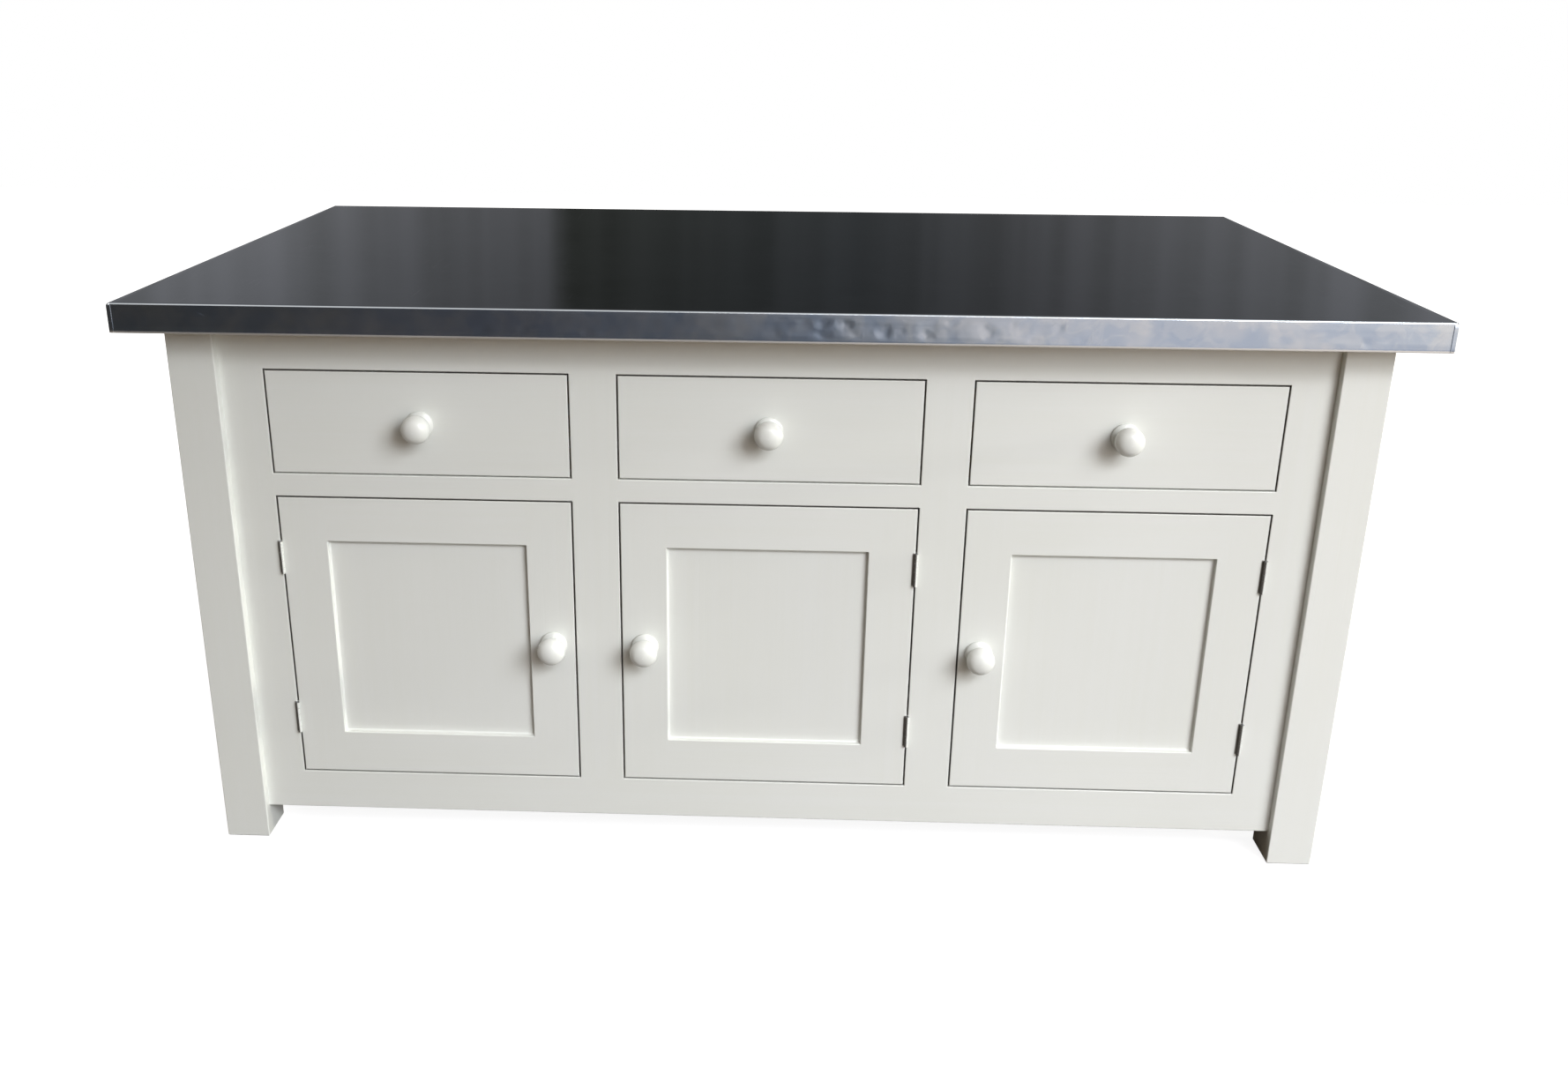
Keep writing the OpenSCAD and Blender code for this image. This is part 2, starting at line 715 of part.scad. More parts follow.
// Half section of a knob: foot, cove, neck and domed head with a rounded rim
module knob_section() {
    foot_r = knob_foot_d / 2;
    neck_r = knob_neck_d / 2;
    rim_x = knob_d / 2 - knob_rim_r;
    dome_drop = sqrt(pow(knob_dome_r - knob_rim_r, 2) - rim_x * rim_x);
    head_y = knob_l - knob_dome_r + dome_drop;
    meet = knob_dome_r / (knob_dome_r - knob_rim_r);
    square([foot_r - knob_foot_t / 2, knob_foot_t]);
    translate([foot_r - knob_foot_t / 2, knob_foot_t / 2])
        circle(d = knob_foot_t, $fn = round_fn);
    square([neck_r, head_y]);
    difference() {
        square([neck_r + knob_cove_r, knob_foot_t + knob_cove_r]);
        translate([neck_r + knob_cove_r, knob_foot_t + knob_cove_r])
            circle(knob_cove_r, $fn = round_fn);
    }
    translate([rim_x, head_y]) circle(knob_rim_r, $fn = 2 * round_fn);
    intersection() {
        translate([0, head_y - dome_drop]) circle(knob_dome_r, $fn = 2 * round_fn);
        translate([0, head_y]) square([rim_x * meet, knob_l]);
    }
}

// Turned knob on the face at Z = 0 of a front t thick, with the screw that holds it
module knob(t) {
    color(paint) difference() {
        rotate_extrude($fn = 2 * round_fn) intersection() {
            knob_section();
            square([knob_d, knob_l + over]);
        }
        translate([0, 0, -over]) cylinder(h = knob_screw_in + glue_gap + over,
            d = knob_screw_d + 2 * pin_play, $fn = round_fn);
    }
    color(steel) {
        translate([0, 0, -t - screw_head_t])
            cylinder(h = screw_head_t, d = screw_head_d, $fn = round_fn);
        translate([0, 0, -t - screw_head_t / 2])
            cylinder(h = t + screw_head_t / 2 + knob_screw_in, d = knob_screw_d,
                $fn = round_fn);
    }
}

module at_knob(x, z) translate([x, front_y, z]) rotate([90, 0, 0]) children();

// Clearance hole for the knob's screw
module knob_hole(x, z, t)
    at_knob(x, z) translate([0, 0, -t - over])
        cylinder(h = t + 2 * over, d = knob_screw_d + 2 * screw_play, $fn = round_fn);

// ---- Drawers ----

// Tails of a dovetailed corner h high: roots on the plane Y = 0, tips at Y = l, box_t
// thick along X, and grown by g for their sockets
module tails(h, l, g = 0)
    for (k = [0 : tail_count - 1]) {
        mid = h * (k + 0.5) / tail_count;
        root = h / tail_count * tail_share / 2 + g;
        tip = root + l * tan(tail_slope);
        translate([-g, 0, mid]) rotate([90, 0, 90]) linear_extrude(box_t + 2 * g)
            polygon([[-over, -root], [0, -root], [l + g, -tip], [l + g, tip], [0, root],
                [-over, root]]);
    }

// Both corners' tails at the front and at the back, for a drawer at X = 0
module front_tails(g = 0)
    for (m = [0, 1]) mirror([m, 0, 0]) translate([-drawer_w / 2, box_y0, box_z])
        mirror([0, 1, 0]) tails(box_h, lap_tail_l, g);

module back_tails(g = 0)
    for (m = [0, 1]) mirror([m, 0, 0])
        translate([-drawer_w / 2, box_y1 - box_t, box_back_z]) tails(box_back_h, box_t, g);

// Space of the drawer bottom in its grooves, grown by g
module bottom_board(g = 0) {
    w = drawer_w - 2 * (box_t - bottom_groove_d + glue_gap);
    y0 = box_y0 - bottom_groove_d + glue_gap;
    translate([-w / 2 - g, y0 - g, box_z + bottom_up - g])
        cube([w + 2 * g, box_y1 - y0 + 2 * g, drawer_bottom_t + 2 * g]);
}

module at_bay(i) translate([i * bay_pitch, 0, 0]) children();

module drawer_front(i)
    color(paint) at_bay(i) difference() {
        translate([-drawer_w / 2, front_y, box_z]) cube([drawer_w, drawer_front_t, front_h]);
        front_tails(glue_gap);
        bottom_board(glue_gap);
        knob_hole(drawer_knob_off[i + 1], box_z + front_h / 2, drawer_front_t);
        board_ring(-drawer_w / 2, drawer_w / 2, box_z, box_z + front_h, front_y);
    }

module drawer_sides(i)
    color(ply) at_bay(i) difference() {
        union() {
            for (m = [0, 1]) mirror([m, 0, 0]) translate([-drawer_w / 2, box_y0, box_z]) {
                cube([box_t, box_y1 - box_t - box_y0, box_h]);
                cube([box_t, box_y1 - box_y0, box_back_z - box_z]);
            }
            front_tails();
            back_tails();
        }
        bottom_board(glue_gap);
    }

module drawer_back(i)
    color(ply) at_bay(i) difference() {
        translate([-drawer_w / 2, box_y1 - box_t, box_back_z])
            cube([drawer_w, box_t, box_back_h]);
        back_tails(glue_gap);
    }

module drawer_bottom(i) color(ply) at_bay(i) bottom_board();

module drawer_knob(i)
    at_bay(i) at_knob(drawer_knob_off[i + 1], box_z + front_h / 2) knob(drawer_front_t);

// ---- Doors ----

// Cuts that every door part shares: rounded edges inside and out, and the panel's groove
module door_cuts() {
    x = door_w / 2;
    z = door_z0 + front_gap;
    board_ring(-x, x, z, z + door_h, front_y);
    opening_ring(door_frame_w - x, x - door_frame_w, z + door_frame_w,
        z + door_h - door_frame_w, front_y);
    translate([door_frame_w - x - door_groove_d, front_y + (door_t - door_groove_w) / 2,
        z + door_frame_w - door_groove_d])
        cube([2 * (x - door_frame_w + door_groove_d), door_groove_w,
            door_h - 2 * (door_frame_w - door_groove_d)]);
}

// Stiles, grooved along their whole inner edges
module door_stiles(i)
    color(paint) difference() {
        at_bay(i) difference() {
            for (m = [0, 1]) mirror([m, 0, 0])
                translate([-door_w / 2, front_y, door_z0 + front_gap])
                    cube([door_frame_w, door_t, door_h]);
            door_cuts();
            translate([door_frame_w - door_w / 2 - door_groove_d,
                front_y + (door_t - door_groove_w) / 2, door_z0])
                cube([door_w - 2 * (door_frame_w - door_groove_d), door_groove_w,
                    door_z1 - door_z0]);
        }
        leaf_seats(i, 1);
        knob_hole(closing_x(i) + door_knob_off[i + 1], knob_z, door_t);
    }

// Rails, with stub tenons in the stiles' grooves
module door_rails(i)
    color(paint) at_bay(i) difference() {
        for (m = [0, 1]) translate([0, front_y, m ? door_z1 - front_gap - door_frame_w :
            door_z0 + front_gap]) {
            translate([door_frame_w - door_w / 2, 0, 0])
                cube([door_w - 2 * door_frame_w, door_t, door_frame_w]);
            translate([door_frame_w - door_w / 2 - door_groove_d + glue_gap,
                (door_t - door_panel_t) / 2, 0])
                cube([door_w - 2 * (door_frame_w - door_groove_d + glue_gap), door_panel_t,
                    door_frame_w]);
        }
        door_cuts();
    }

module door_panel(i) {
    in = door_frame_w - door_groove_d + glue_gap;
    color(paint) at_bay(i)
        translate([in - door_w / 2, front_y + (door_t - door_panel_t) / 2,
            door_z0 + front_gap + in])
            cube([door_w - 2 * in, door_panel_t, door_h - 2 * in]);
}

module door_knob(i)
    at_knob(closing_x(i) + door_knob_off[i + 1], knob_z) knob(door_t);

module door_hinge_leaves(i)
    color(paint) for (z = hinge_zs) at_hinge(i, z) hinge_leaf(1);

// Steel plate at the top of the closing stile that the magnet holds
module door_catch_plate(i)
    color(steel) translate([closing_x(i) - plate_w / 2, door_back_y,
        door_z1 - front_gap - plate_h]) cube([plate_w, plate_t, plate_h]);

zinc_top();
worktop_board();
post_at(0, 0);  // post_front_left
post_at(1, 0);  // post_front_right
post_at(0, 1);  // post_back_left
post_at(1, 1);  // post_back_right
front_rail(drawer_z1, top_rail_h);  // front_top_rail
front_middle_rails();
front_rail(foot_h, bottom_rail_h);  // front_bottom_rail
front_end_stiles();
front_mullions();
side_rails();
back_rails();
muntins();
side_panels();
back_panels();
base_board();
carcass_ends();
partitions();
drawer_runners();
drawer_kickers();
shelves();
shelf_pins();
worktop_fixings();
hinge_frame_leaves();
hinge_pins();
door_catches();
drawer_front(LEFT);  // drawer_front_left
drawer_sides(LEFT);  // drawer_sides_left
drawer_back(LEFT);  // drawer_back_left
drawer_bottom(LEFT);  // drawer_bottom_left
drawer_knob(LEFT);  // drawer_knob_left
drawer_front(CENTRE);  // drawer_front_centre
drawer_sides(CENTRE);  // drawer_sides_centre
drawer_back(CENTRE);  // drawer_back_centre
drawer_bottom(CENTRE);  // drawer_bottom_centre
drawer_knob(CENTRE);  // drawer_knob_centre
drawer_front(RIGHT);  // drawer_front_right
drawer_sides(RIGHT);  // drawer_sides_right
drawer_back(RIGHT);  // drawer_back_right
drawer_bottom(RIGHT);  // drawer_bottom_right
drawer_knob(RIGHT);  // drawer_knob_right
door_stiles(LEFT);  // door_stiles_left
door_rails(LEFT);  // door_rails_left
door_panel(LEFT);  // door_panel_left
door_knob(LEFT);  // door_knob_left
door_hinge_leaves(LEFT);  // door_hinge_leaves_left
door_catch_plate(LEFT);  // door_catch_plate_left
door_stiles(CENTRE);  // door_stiles_centre
door_rails(CENTRE);  // door_rails_centre
door_panel(CENTRE);  // door_panel_centre
door_knob(CENTRE);  // door_knob_centre
door_hinge_leaves(CENTRE);  // door_hinge_leaves_centre
door_catch_plate(CENTRE);  // door_catch_plate_centre
door_stiles(RIGHT);  // door_stiles_right
door_rails(RIGHT);  // door_rails_right
door_panel(RIGHT);  // door_panel_right
door_knob(RIGHT);  // door_knob_right
door_hinge_leaves(RIGHT);  // door_hinge_leaves_right
door_catch_plate(RIGHT);  // door_catch_plate_right
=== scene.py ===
"""Kitchen island unit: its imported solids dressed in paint, zinc, plywood, oak and steel."""
import math
import random

import bmesh
import bpy
from mathutils import Matrix, Vector


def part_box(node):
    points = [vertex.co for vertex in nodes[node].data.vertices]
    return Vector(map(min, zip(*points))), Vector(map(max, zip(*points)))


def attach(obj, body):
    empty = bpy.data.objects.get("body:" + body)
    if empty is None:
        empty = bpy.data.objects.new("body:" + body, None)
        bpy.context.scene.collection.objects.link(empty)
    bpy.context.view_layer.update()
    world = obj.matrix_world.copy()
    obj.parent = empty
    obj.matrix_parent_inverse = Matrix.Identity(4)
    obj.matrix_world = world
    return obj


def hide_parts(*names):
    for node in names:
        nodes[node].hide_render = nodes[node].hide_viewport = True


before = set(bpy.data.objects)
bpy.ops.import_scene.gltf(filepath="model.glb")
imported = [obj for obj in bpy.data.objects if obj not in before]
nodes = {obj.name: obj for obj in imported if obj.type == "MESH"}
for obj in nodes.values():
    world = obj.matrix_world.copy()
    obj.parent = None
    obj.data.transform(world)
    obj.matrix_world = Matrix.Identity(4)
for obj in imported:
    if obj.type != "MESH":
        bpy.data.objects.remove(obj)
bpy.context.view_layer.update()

# Camera. It stands 2.4 m before the unit's front edge, at a standing person's eye height,
# and looks down on it; the small shift is the one that the photograph's framing has.
bpy.ops.object.camera_add()
camera = bpy.context.object
camera.data.sensor_width = 36
camera.data.lens = 31.27
camera.data.shift_x, camera.data.shift_y = 0.0361, -0.0374
camera.matrix_world = (
    Matrix.Translation((0.0040, -2.3768, 1.2880))
    @ Matrix.Rotation(math.radians(1.96), 4, "Z")
    @ Matrix.Rotation(math.radians(71.08), 4, "X")
    @ Matrix.Rotation(math.radians(0.44), 4, "Z")
)
bpy.context.scene.camera = camera
bpy.context.scene.view_settings.view_transform = "Standard"


# Studio. A pale floor, large soft lamps to the right of the camera, weak ones low down, far
# to the right and behind, and a faint warm light from above. The camera sees floor and room
# as plain white, while the zinc mirrors bands of light and dark above and before it.
class Socket:
    """An output of a shader node: sums on it add Math nodes, and node() adds any other."""

    def __init__(self, tree, output=None):
        self.tree, self.output = tree, output

    def node(self, kind, settings=None, inputs=None, output=0):
        made = self.tree.nodes.new("ShaderNode" + kind)
        for name, value in (settings or {}).items():
            if name == "stops":
                ramp = made.color_ramp.elements
                ramp.remove(ramp[1])
                ramp[0].position, ramp[0].color = value[0]
                for position, colour in value[1:]:
                    ramp.new(position).color = colour
            else:
                setattr(made, name, value)
        for name, value in (inputs or {}).items():
            if isinstance(value, Socket):
                self.tree.links.new(value.output, made.inputs[name])
            else:
                made.inputs[name].default_value = value
        return Socket(self.tree, made.outputs[output] if len(made.outputs) else None)

    def math(self, operation, first, second=0.0):
        return self.node("Math", {"operation": operation}, {0: first, 1: second})

    def __add__(self, other):
        return self.math("ADD", self, other)

    def __sub__(self, other):
        return self.math("SUBTRACT", self, other)

    def __rsub__(self, other):
        return self.math("SUBTRACT", other, self)

    def __mul__(self, other):
        return self.math("MULTIPLY", self, other)

    def __mod__(self, other):
        return self.math("FLOORED_MODULO", self, other)

    def __abs__(self):
        return self.math("ABSOLUTE", self)

    __radd__, __rmul__ = __add__, __mul__

    def rise(self, low, high):
        """0 below low, 1 above high and smooth between; with low above high it falls."""
        return self.node("MapRange", {"interpolation_type": "SMOOTHSTEP"},
                         {0: self, 1: low, 2: high})

    def blend(self, first, second):
        """Colour that goes from first to second as this value goes from 0 to 1."""
        return self.node("Mix", {"data_type": "RGBA"}, {0: self, 6: first, 7: second}, 2)


def seen(red, green, blue):
    """The colour that shows as these values from 0 to 255."""
    return (*(((v / 255 + 0.055) / 1.055) ** 2.4 for v in (red, green, blue)), 1)


def start_nodes(owner):
    """Clears the nodes of a material or the world and starts new ones."""
    owner.use_nodes = True
    owner.node_tree.nodes.clear()
    return Socket(owner.node_tree)


def grey(level):
    return (level, level, level, 1)


def front_bands(sideways):
    """What the zinc's front edge mirrors: dark on the left, bright on the right."""
    return sideways.node("ValToRGB", {"stops": [
        (0.15, grey(0.05)), (0.25, grey(0.078)), (0.35, (0.085, 0.085, 0.10, 1)),
        (0.45, (0.10, 0.105, 0.12, 1)), (0.54, (0.19, 0.21, 0.25, 1)),
        (0.59, (0.58, 0.64, 0.73, 1)), (0.62, (1.08, 1.10, 1.22, 1)),
        (0.70, (1.20, 1.14, 1.14, 1)), (0.76, (0.80, 0.84, 0.97, 1)),
        (0.80, (0.80, 0.84, 0.97, 1)), (0.87, (1.80, 1.65, 1.50, 1))]},
        {0: sideways * 0.125 + 0.5})


room = bpy.data.worlds.new("room")
bpy.context.scene.world = room
start = start_nodes(room)
path_camera = start.node("LightPath", output="Is Camera Ray")
path_glossy = start.node("LightPath", output="Is Glossy Ray")
direction = start.node("TexCoord", output="Generated")
across = direction.node("SeparateXYZ", {}, {0: direction}, "X")
forward = direction.node("SeparateXYZ", {}, {0: direction}, "Y")
upward = direction.node("SeparateXYZ", {}, {0: direction}, "Z")
walls = across.node("ValToRGB", {"stops": [
    (0.0, grey(0.40)), (0.31, grey(0.34)), (0.37, grey(0.20)), (0.420, grey(0.17)),
    (0.423, (0.055, 0.058, 0.050, 1)), (0.53, (0.072, 0.076, 0.076, 1)),
    (0.60, grey(0.14)), (0.67, grey(0.24)), (0.74, grey(0.36)), (1.0, grey(0.46))]},
    {0: across * 0.5 + 0.5})
streaks = across.node("TexNoise", {"noise_dimensions": "1D"}, {"W": across, "Scale": 36,
                                                                "Detail": 2})
streaks = streaks.rise(0.3, 0.7).blend((0.86, 0.88, 0.92, 1), (1.12, 1.14, 1.22, 1))
walls = walls.node("Mix", {"data_type": "RGBA", "blend_type": "MULTIPLY"},
                   {0: 1.0, 6: walls, 7: streaks}, 2)
mirrored = upward.rise(0.22, 0.75).blend(walls, grey(0.95))
ahead = forward.rise(-0.05, -0.25) * upward.rise(0.55, 0.30)
mirrored = ahead.blend(mirrored, front_bands(across * 6.0))
soft = start.node("Background", {}, {"Color": (1.0, 0.76, 0.54, 1),
                                    "Strength": 0.026 + 0.32 * upward.rise(0, 1)})
white = start.node("Background", {}, {"Color": grey(1), "Strength": 1.0})
sharp = start.node("Background", {}, {"Color": mirrored, "Strength": 1.0})
lit = start.node("MixShader", {}, {0: path_glossy, 1: soft, 2: sharp})
start.node("OutputWorld", {}, {"Surface": start.node(
    "MixShader", {}, {0: path_camera, 1: lit, 2: white})})

bpy.ops.object.select_all(action="DESELECT")
bpy.ops.mesh.primitive_plane_add(size=16)
floor = bpy.context.object
floor.name = "floor"
floor_finish = bpy.data.materials.new("floor")
start = start_nodes(floor_finish)
path_camera = start.node("LightPath", output="Is Camera Ray")
path_glossy = start.node("LightPath", output="Is Glossy Ray")
place = start.node("TexCoord", output="Object")
across = place.node("SeparateXYZ", {}, {0: place}, "X")
forward = place.node("SeparateXYZ", {}, {0: place}, "Y")
pale = start.node("BsdfDiffuse", {}, {"Color": grey(0.85)})
dim = start.node("BsdfDiffuse", {}, {"Color": (0.10, 0.085, 0.07, 1)})
glow = start.node("Emission", {}, {"Color": front_bands(across), "Strength": 1.0})
far_off = place.node("VectorMath", {"operation": "LENGTH"}, {0: place}, "Value")
paper = start.node("Emission", {}, {"Color": grey(1),
                                    "Strength": 1.2 + 0.4 * far_off.rise(0.9, 2.4)})
camera_floor = start.node("MixShader", {}, {0: 0.25, 1: paper, 2: pale})
other_floor = start.node("MixShader", {}, {
    0: path_glossy * forward.rise(-1.2, -2.4), 1: dim, 2: glow})
start.node("OutputMaterial", {}, {"Surface": start.node(
    "MixShader", {}, {0: path_camera, 1: other_floor, 2: camera_floor})})
floor.data.materials.append(floor_finish)


def add_lamp(name, place, target, size, power, colour, spread=3.14):
    """A square lamp aimed at a point; the low and the back one don't show in the gloss."""
    bpy.ops.object.light_add(type="AREA", location=place)
    lamp = bpy.context.object
    lamp.name = name
    lamp.rotation_euler = (Vector(place) - Vector(target)).to_track_quat("Z", "Y").to_euler()
    lamp.data.size = lamp.data.size_y = size
    lamp.data.spread = spread
    lamp.data.energy = power
    lamp.data.color = colour
    lamp.visible_camera = False
    lamp.visible_glossy = name not in ("low_lamp", "back_lamp")


add_lamp("high_lamp", (2.0, -5.4, 3.65), (1.6, -4.4, 0), 3.2, 238, (0.925, 0.945, 1.0), 1.45)
add_lamp("near_lamp", (1.7, -2.95, 2.35), (-0.3, -2.6, 0), 1.9, 22, (0.80, 0.90, 1.0), 1.6)
add_lamp("side_lamp", (4.6, -5.6, 3.9), (1.2, -1.8, 0.2), 4.0, 222, (0.955, 0.97, 1.0), 2.1)
add_lamp("right_lamp", (4.2, -0.66, 1.4), (-0.85, -0.46, 0.45), 0.3, 6.5,
         (1.0, 0.97, 0.88), 0.9)
add_lamp("back_lamp", (-3.6, 4.4, 3.0), (-0.3, 0.2, 0.4), 3.0, 105, (1.0, 0.98, 0.95), 1.6)
add_lamp("low_lamp", (1.6, -3.8, 0.7), (0, 0, 0.2), 1.2, 13.6, (1.0, 0.88, 0.81))

# Posts. Four square timbers that carry the frames in their grooves and run down to the
# floor as feet. They are brushed with satin off-white, top to bottom.
off_white = seen(222, 224, 220)


def dress(material, *names):
    """Puts one material all over the named solids."""
    for name in names:
        for index in range(len(nodes[name].data.materials)):
            nodes[name].data.materials[index] = material


def brushed_paint(start, along, gloss=0.34):
    """Paint that shows the strokes of a brush along one axis and a little of the grain."""
    stretch = [1 if axis != along else 0.014 for axis in "XYZ"]
    place = start.node("TexCoord", output="Object")
    laid = place.node("Mapping", {}, {"Vector": place, "Scale": stretch})
    bristles = laid.node("TexNoise", {}, {"Vector": laid, "Scale": 620, "Detail": 3,
                                          "Roughness": 0.6})
    laps = laid.node("TexNoise", {}, {"Vector": laid, "Scale": 85, "Detail": 2})
    grain = laid.node("TexNoise", {}, {"Vector": laid, "Scale": 210, "Detail": 2,
                                       "Distortion": 0.6})
    cloud = place.node("TexNoise", {}, {"Vector": place, "Scale": 3.2, "Detail": 2})
    pores = grain.rise(0.66, 0.74)
    height = bristles * 0.35 + laps * 0.9 - pores * 0.5
    tone = cloud * 0.5 + laps * 0.25 + bristles * 0.25
    return start.node("BsdfPrincipled", {}, {
        "Base Color": tone.rise(0.3, 0.7).blend(
            [v * 0.975 for v in off_white[:2]] + [off_white[2] * 0.955, 1], off_white),
        "Roughness": gloss + 0.16 * (bristles - 0.5) + 0.05 * pores,
        "Normal": height.node("Bump", {}, {"Height": height, "Distance": 0.00006}),
    })


def paint(name, along):
    material = bpy.data.materials.new(name)
    start = start_nodes(material)
    start.node("OutputMaterial", {}, {"Surface": brushed_paint(start, along)})
    return material


paint_upright = paint("paint_upright", "Z")
dress(paint_upright, "post_front_left", "post_front_right", "post_back_left",
      "post_back_right")

# Front frame. Rails and uprights of the same timber, tenoned together into one flat
# frame round the six openings, and brushed along the length of each member.
face_y, bay_w, panel_half_w, panel_half_h = -0.453, 0.522, 0.171, 0.176
drawer_top_z, door_top_z, door_z, door_low_z = 0.790, 0.592, 0.3555, 0.119
hinge_up, hinge_half, hinge_gaps = 0.138, 0.0265, (-0.7510, 0.2212, 0.7434)


def fitted_paint(name, along):
    """Paint with painted shade in the gaps and a painted shadow beside each hinge knuckle."""
    material = bpy.data.materials.new(name)
    start = start_nodes(material)
    place = start.node("TexCoord", output="Object")
    facing = start.node("TexCoord", output="Normal")
    x, y, z = (place.node("SeparateXYZ", {}, {0: place}, axis) for axis in "XYZ")
    aside, over = (abs(facing.node("SeparateXYZ", {}, {0: facing}, axis)).rise(0.35, 0.75)
                   for axis in "XZ")
    from_middle = abs((x + bay_w / 2) % bay_w - bay_w / 2)
    recess = from_middle.rise(panel_half_w + 0.004, panel_half_w)
    recess = recess * abs(z - door_z).rise(panel_half_h + 0.004, panel_half_h)
    gaps = sum(abs(z - gap).rise(0.006, 0.004) for gap in (drawer_top_z, door_top_z))
    gaps = gaps + abs(z - door_low_z).rise(0.006, 0.004) * 0.5
    # The edges just behind the face, inside the gaps, get painted shade that stands in for
    # the shade deep in the gaps.
    deep = y.rise(face_y + 0.0002, face_y + 0.0015) * y.rise(face_y + 0.008, face_y + 0.004)
    deep = deep * (1 - recess)
    # A strip of face beside each hinge knuckle gets a painted shadow of the knuckle.
    at_hinge = abs(abs(z - door_z) - hinge_up).rise(hinge_half + 0.001, hinge_half - 0.001)
    hinge_shadow = at_hinge * sum(abs(x - gap).rise(0.0024, 0.0012) for gap in hinge_gaps)
    # Dark brown used as painted shade in the gaps and as painted shadow beside the knuckles.
    painted_shade = start.node("BsdfPrincipled", {}, {"Base Color": seen(66, 60, 54),
                                              "Roughness": 0.8})
    start.node("OutputMaterial", {}, {"Surface": start.node("MixShader", {}, {
        0: deep * (aside + over * gaps) * 0.92 + hinge_shadow * 0.75,
        1: brushed_paint(start, along), 2: painted_shade})})
    return material


fitted_level = fitted_paint("fitted_level", "X")
fitted_upright = fitted_paint("fitted_upright", "Z")
dress(fitted_level, "front_top_rail", "front_middle_rails", "front_bottom_rail")
dress(fitted_upright, "front_end_stiles", "front_mullions")

# Ends and back. Plain framed panels in the grooves of the posts, painted as the front is.
paint_level = paint("paint_level", "X")
paint_depth = paint("paint_depth", "Y")
dress(paint_depth, "side_rails")
dress(paint_level, "back_rails")
dress(paint_upright, "muntins", "side_panels", "back_panels")


# Boards inside. Birch plywood under matt lacquer for the cupboard floor, the uprights
# that line the cupboards and the shelves; the edges show their plies.
def birch_ply(name, thick, along, ply=0.0014):
    """Birch ply that is thick along one axis, its face grain running along another."""
    material = bpy.data.materials.new(name)
    start = start_nodes(material)
    place = start.node("TexCoord", output="Object")
    facing = start.node("TexCoord", output="Normal")
    depth = place.node("SeparateXYZ", {}, {0: place}, thick)
    edge = abs(facing.node("SeparateXYZ", {}, {0: facing}, thick)).rise(0.7, 0.3)
    stretch = [0.05 if axis == along else 1 for axis in "XYZ"]
    laid = place.node("Mapping", {}, {"Vector": place, "Scale": stretch})
    figure = laid.node("TexNoise", {}, {"Vector": laid, "Scale": 24, "Detail": 3,
                                        "Distortion": 1.6})
    fibre = laid.node("TexNoise", {}, {"Vector": laid, "Scale": 620, "Detail": 3})
    flecks = laid.node("TexNoise", {}, {"Vector": laid, "Scale": 190, "Detail": 1})
    rings = (figure * 9 % 1.0).rise(0.0, 1.0) * 0.35 + figure * 0.65
    shade = rings * 0.75 + fibre * 0.25
    face = shade.node("ValToRGB", {"stops": [
        (0.25, seen(236, 216, 182)), (0.5, seen(228, 203, 163)),
        (0.75, seen(212, 182, 138))]}, {0: shade})
    face = flecks.rise(0.70, 0.78).blend(face, seen(186, 150, 108))
    crossed = (depth * (1 / ply) % 2.0 - 1.0).rise(-0.08, 0.08)
    seam = abs(depth * (1 / ply) % 1.0 - 0.5).rise(0.42, 0.5)
    speck = place.node("TexNoise", {}, {"Vector": place, "Scale": 900, "Detail": 2})
    layers = crossed.blend(seen(222, 196, 152), seen(176, 138, 94))
    layers = (seam * 0.7 + speck.rise(0.55, 0.8) * 0.3).blend(layers, seen(120, 88, 58))
    height = edge * (crossed * 0.5 - seam) + fibre * 0.4 + figure * 0.2
    start.node("OutputMaterial", {}, {"Surface": start.node("BsdfPrincipled", {}, {
        "Base Color": edge.blend(face, layers),
        "Roughness": 0.46 + 0.2 * fibre - 0.05 * rings,
        "Normal": height.node("Bump", {}, {"Height": height, "Distance": 0.00008}),
    })})
    return material


ply_flat = birch_ply("birch_ply_flat", "Z", "X")
ply_upright = birch_ply("birch_ply_upright", "X", "Z")
dress(ply_flat, "base_board", "shelves", "worktop_board")
dress(ply_upright, "carcass_ends", "partitions")

# Shelf pins, hinge pins and screws. Plain steel bar, drawn and cut, with fine lines
# round it and slight dulling from handling.
bright_steel = bpy.data.materials.new("bright_steel")


def steel(start):
    place = start.node("TexCoord", output="Object")
    lines = place.node("TexNoise", {}, {"Vector": place, "Scale": 2600, "Detail": 3})
    dulled = place.node("TexNoise", {}, {"Vector": place, "Scale": 240, "Detail": 2})
    return start.node("BsdfPrincipled", {}, {
        "Base Color": dulled.rise(0.35, 0.7).blend(seen(196, 198, 200), seen(160, 161, 163)),
        "Metallic": 1.0,
        "Roughness": 0.24 + 0.16 * dulled + 0.08 * lines,
        "Normal": lines.node("Bump", {}, {"Height": lines, "Distance": 0.00001}),
    })


start = start_nodes(bright_steel)
start.node("OutputMaterial", {}, {"Surface": steel(start)})
dress(bright_steel, "shelf_pins", "hinge_pins")


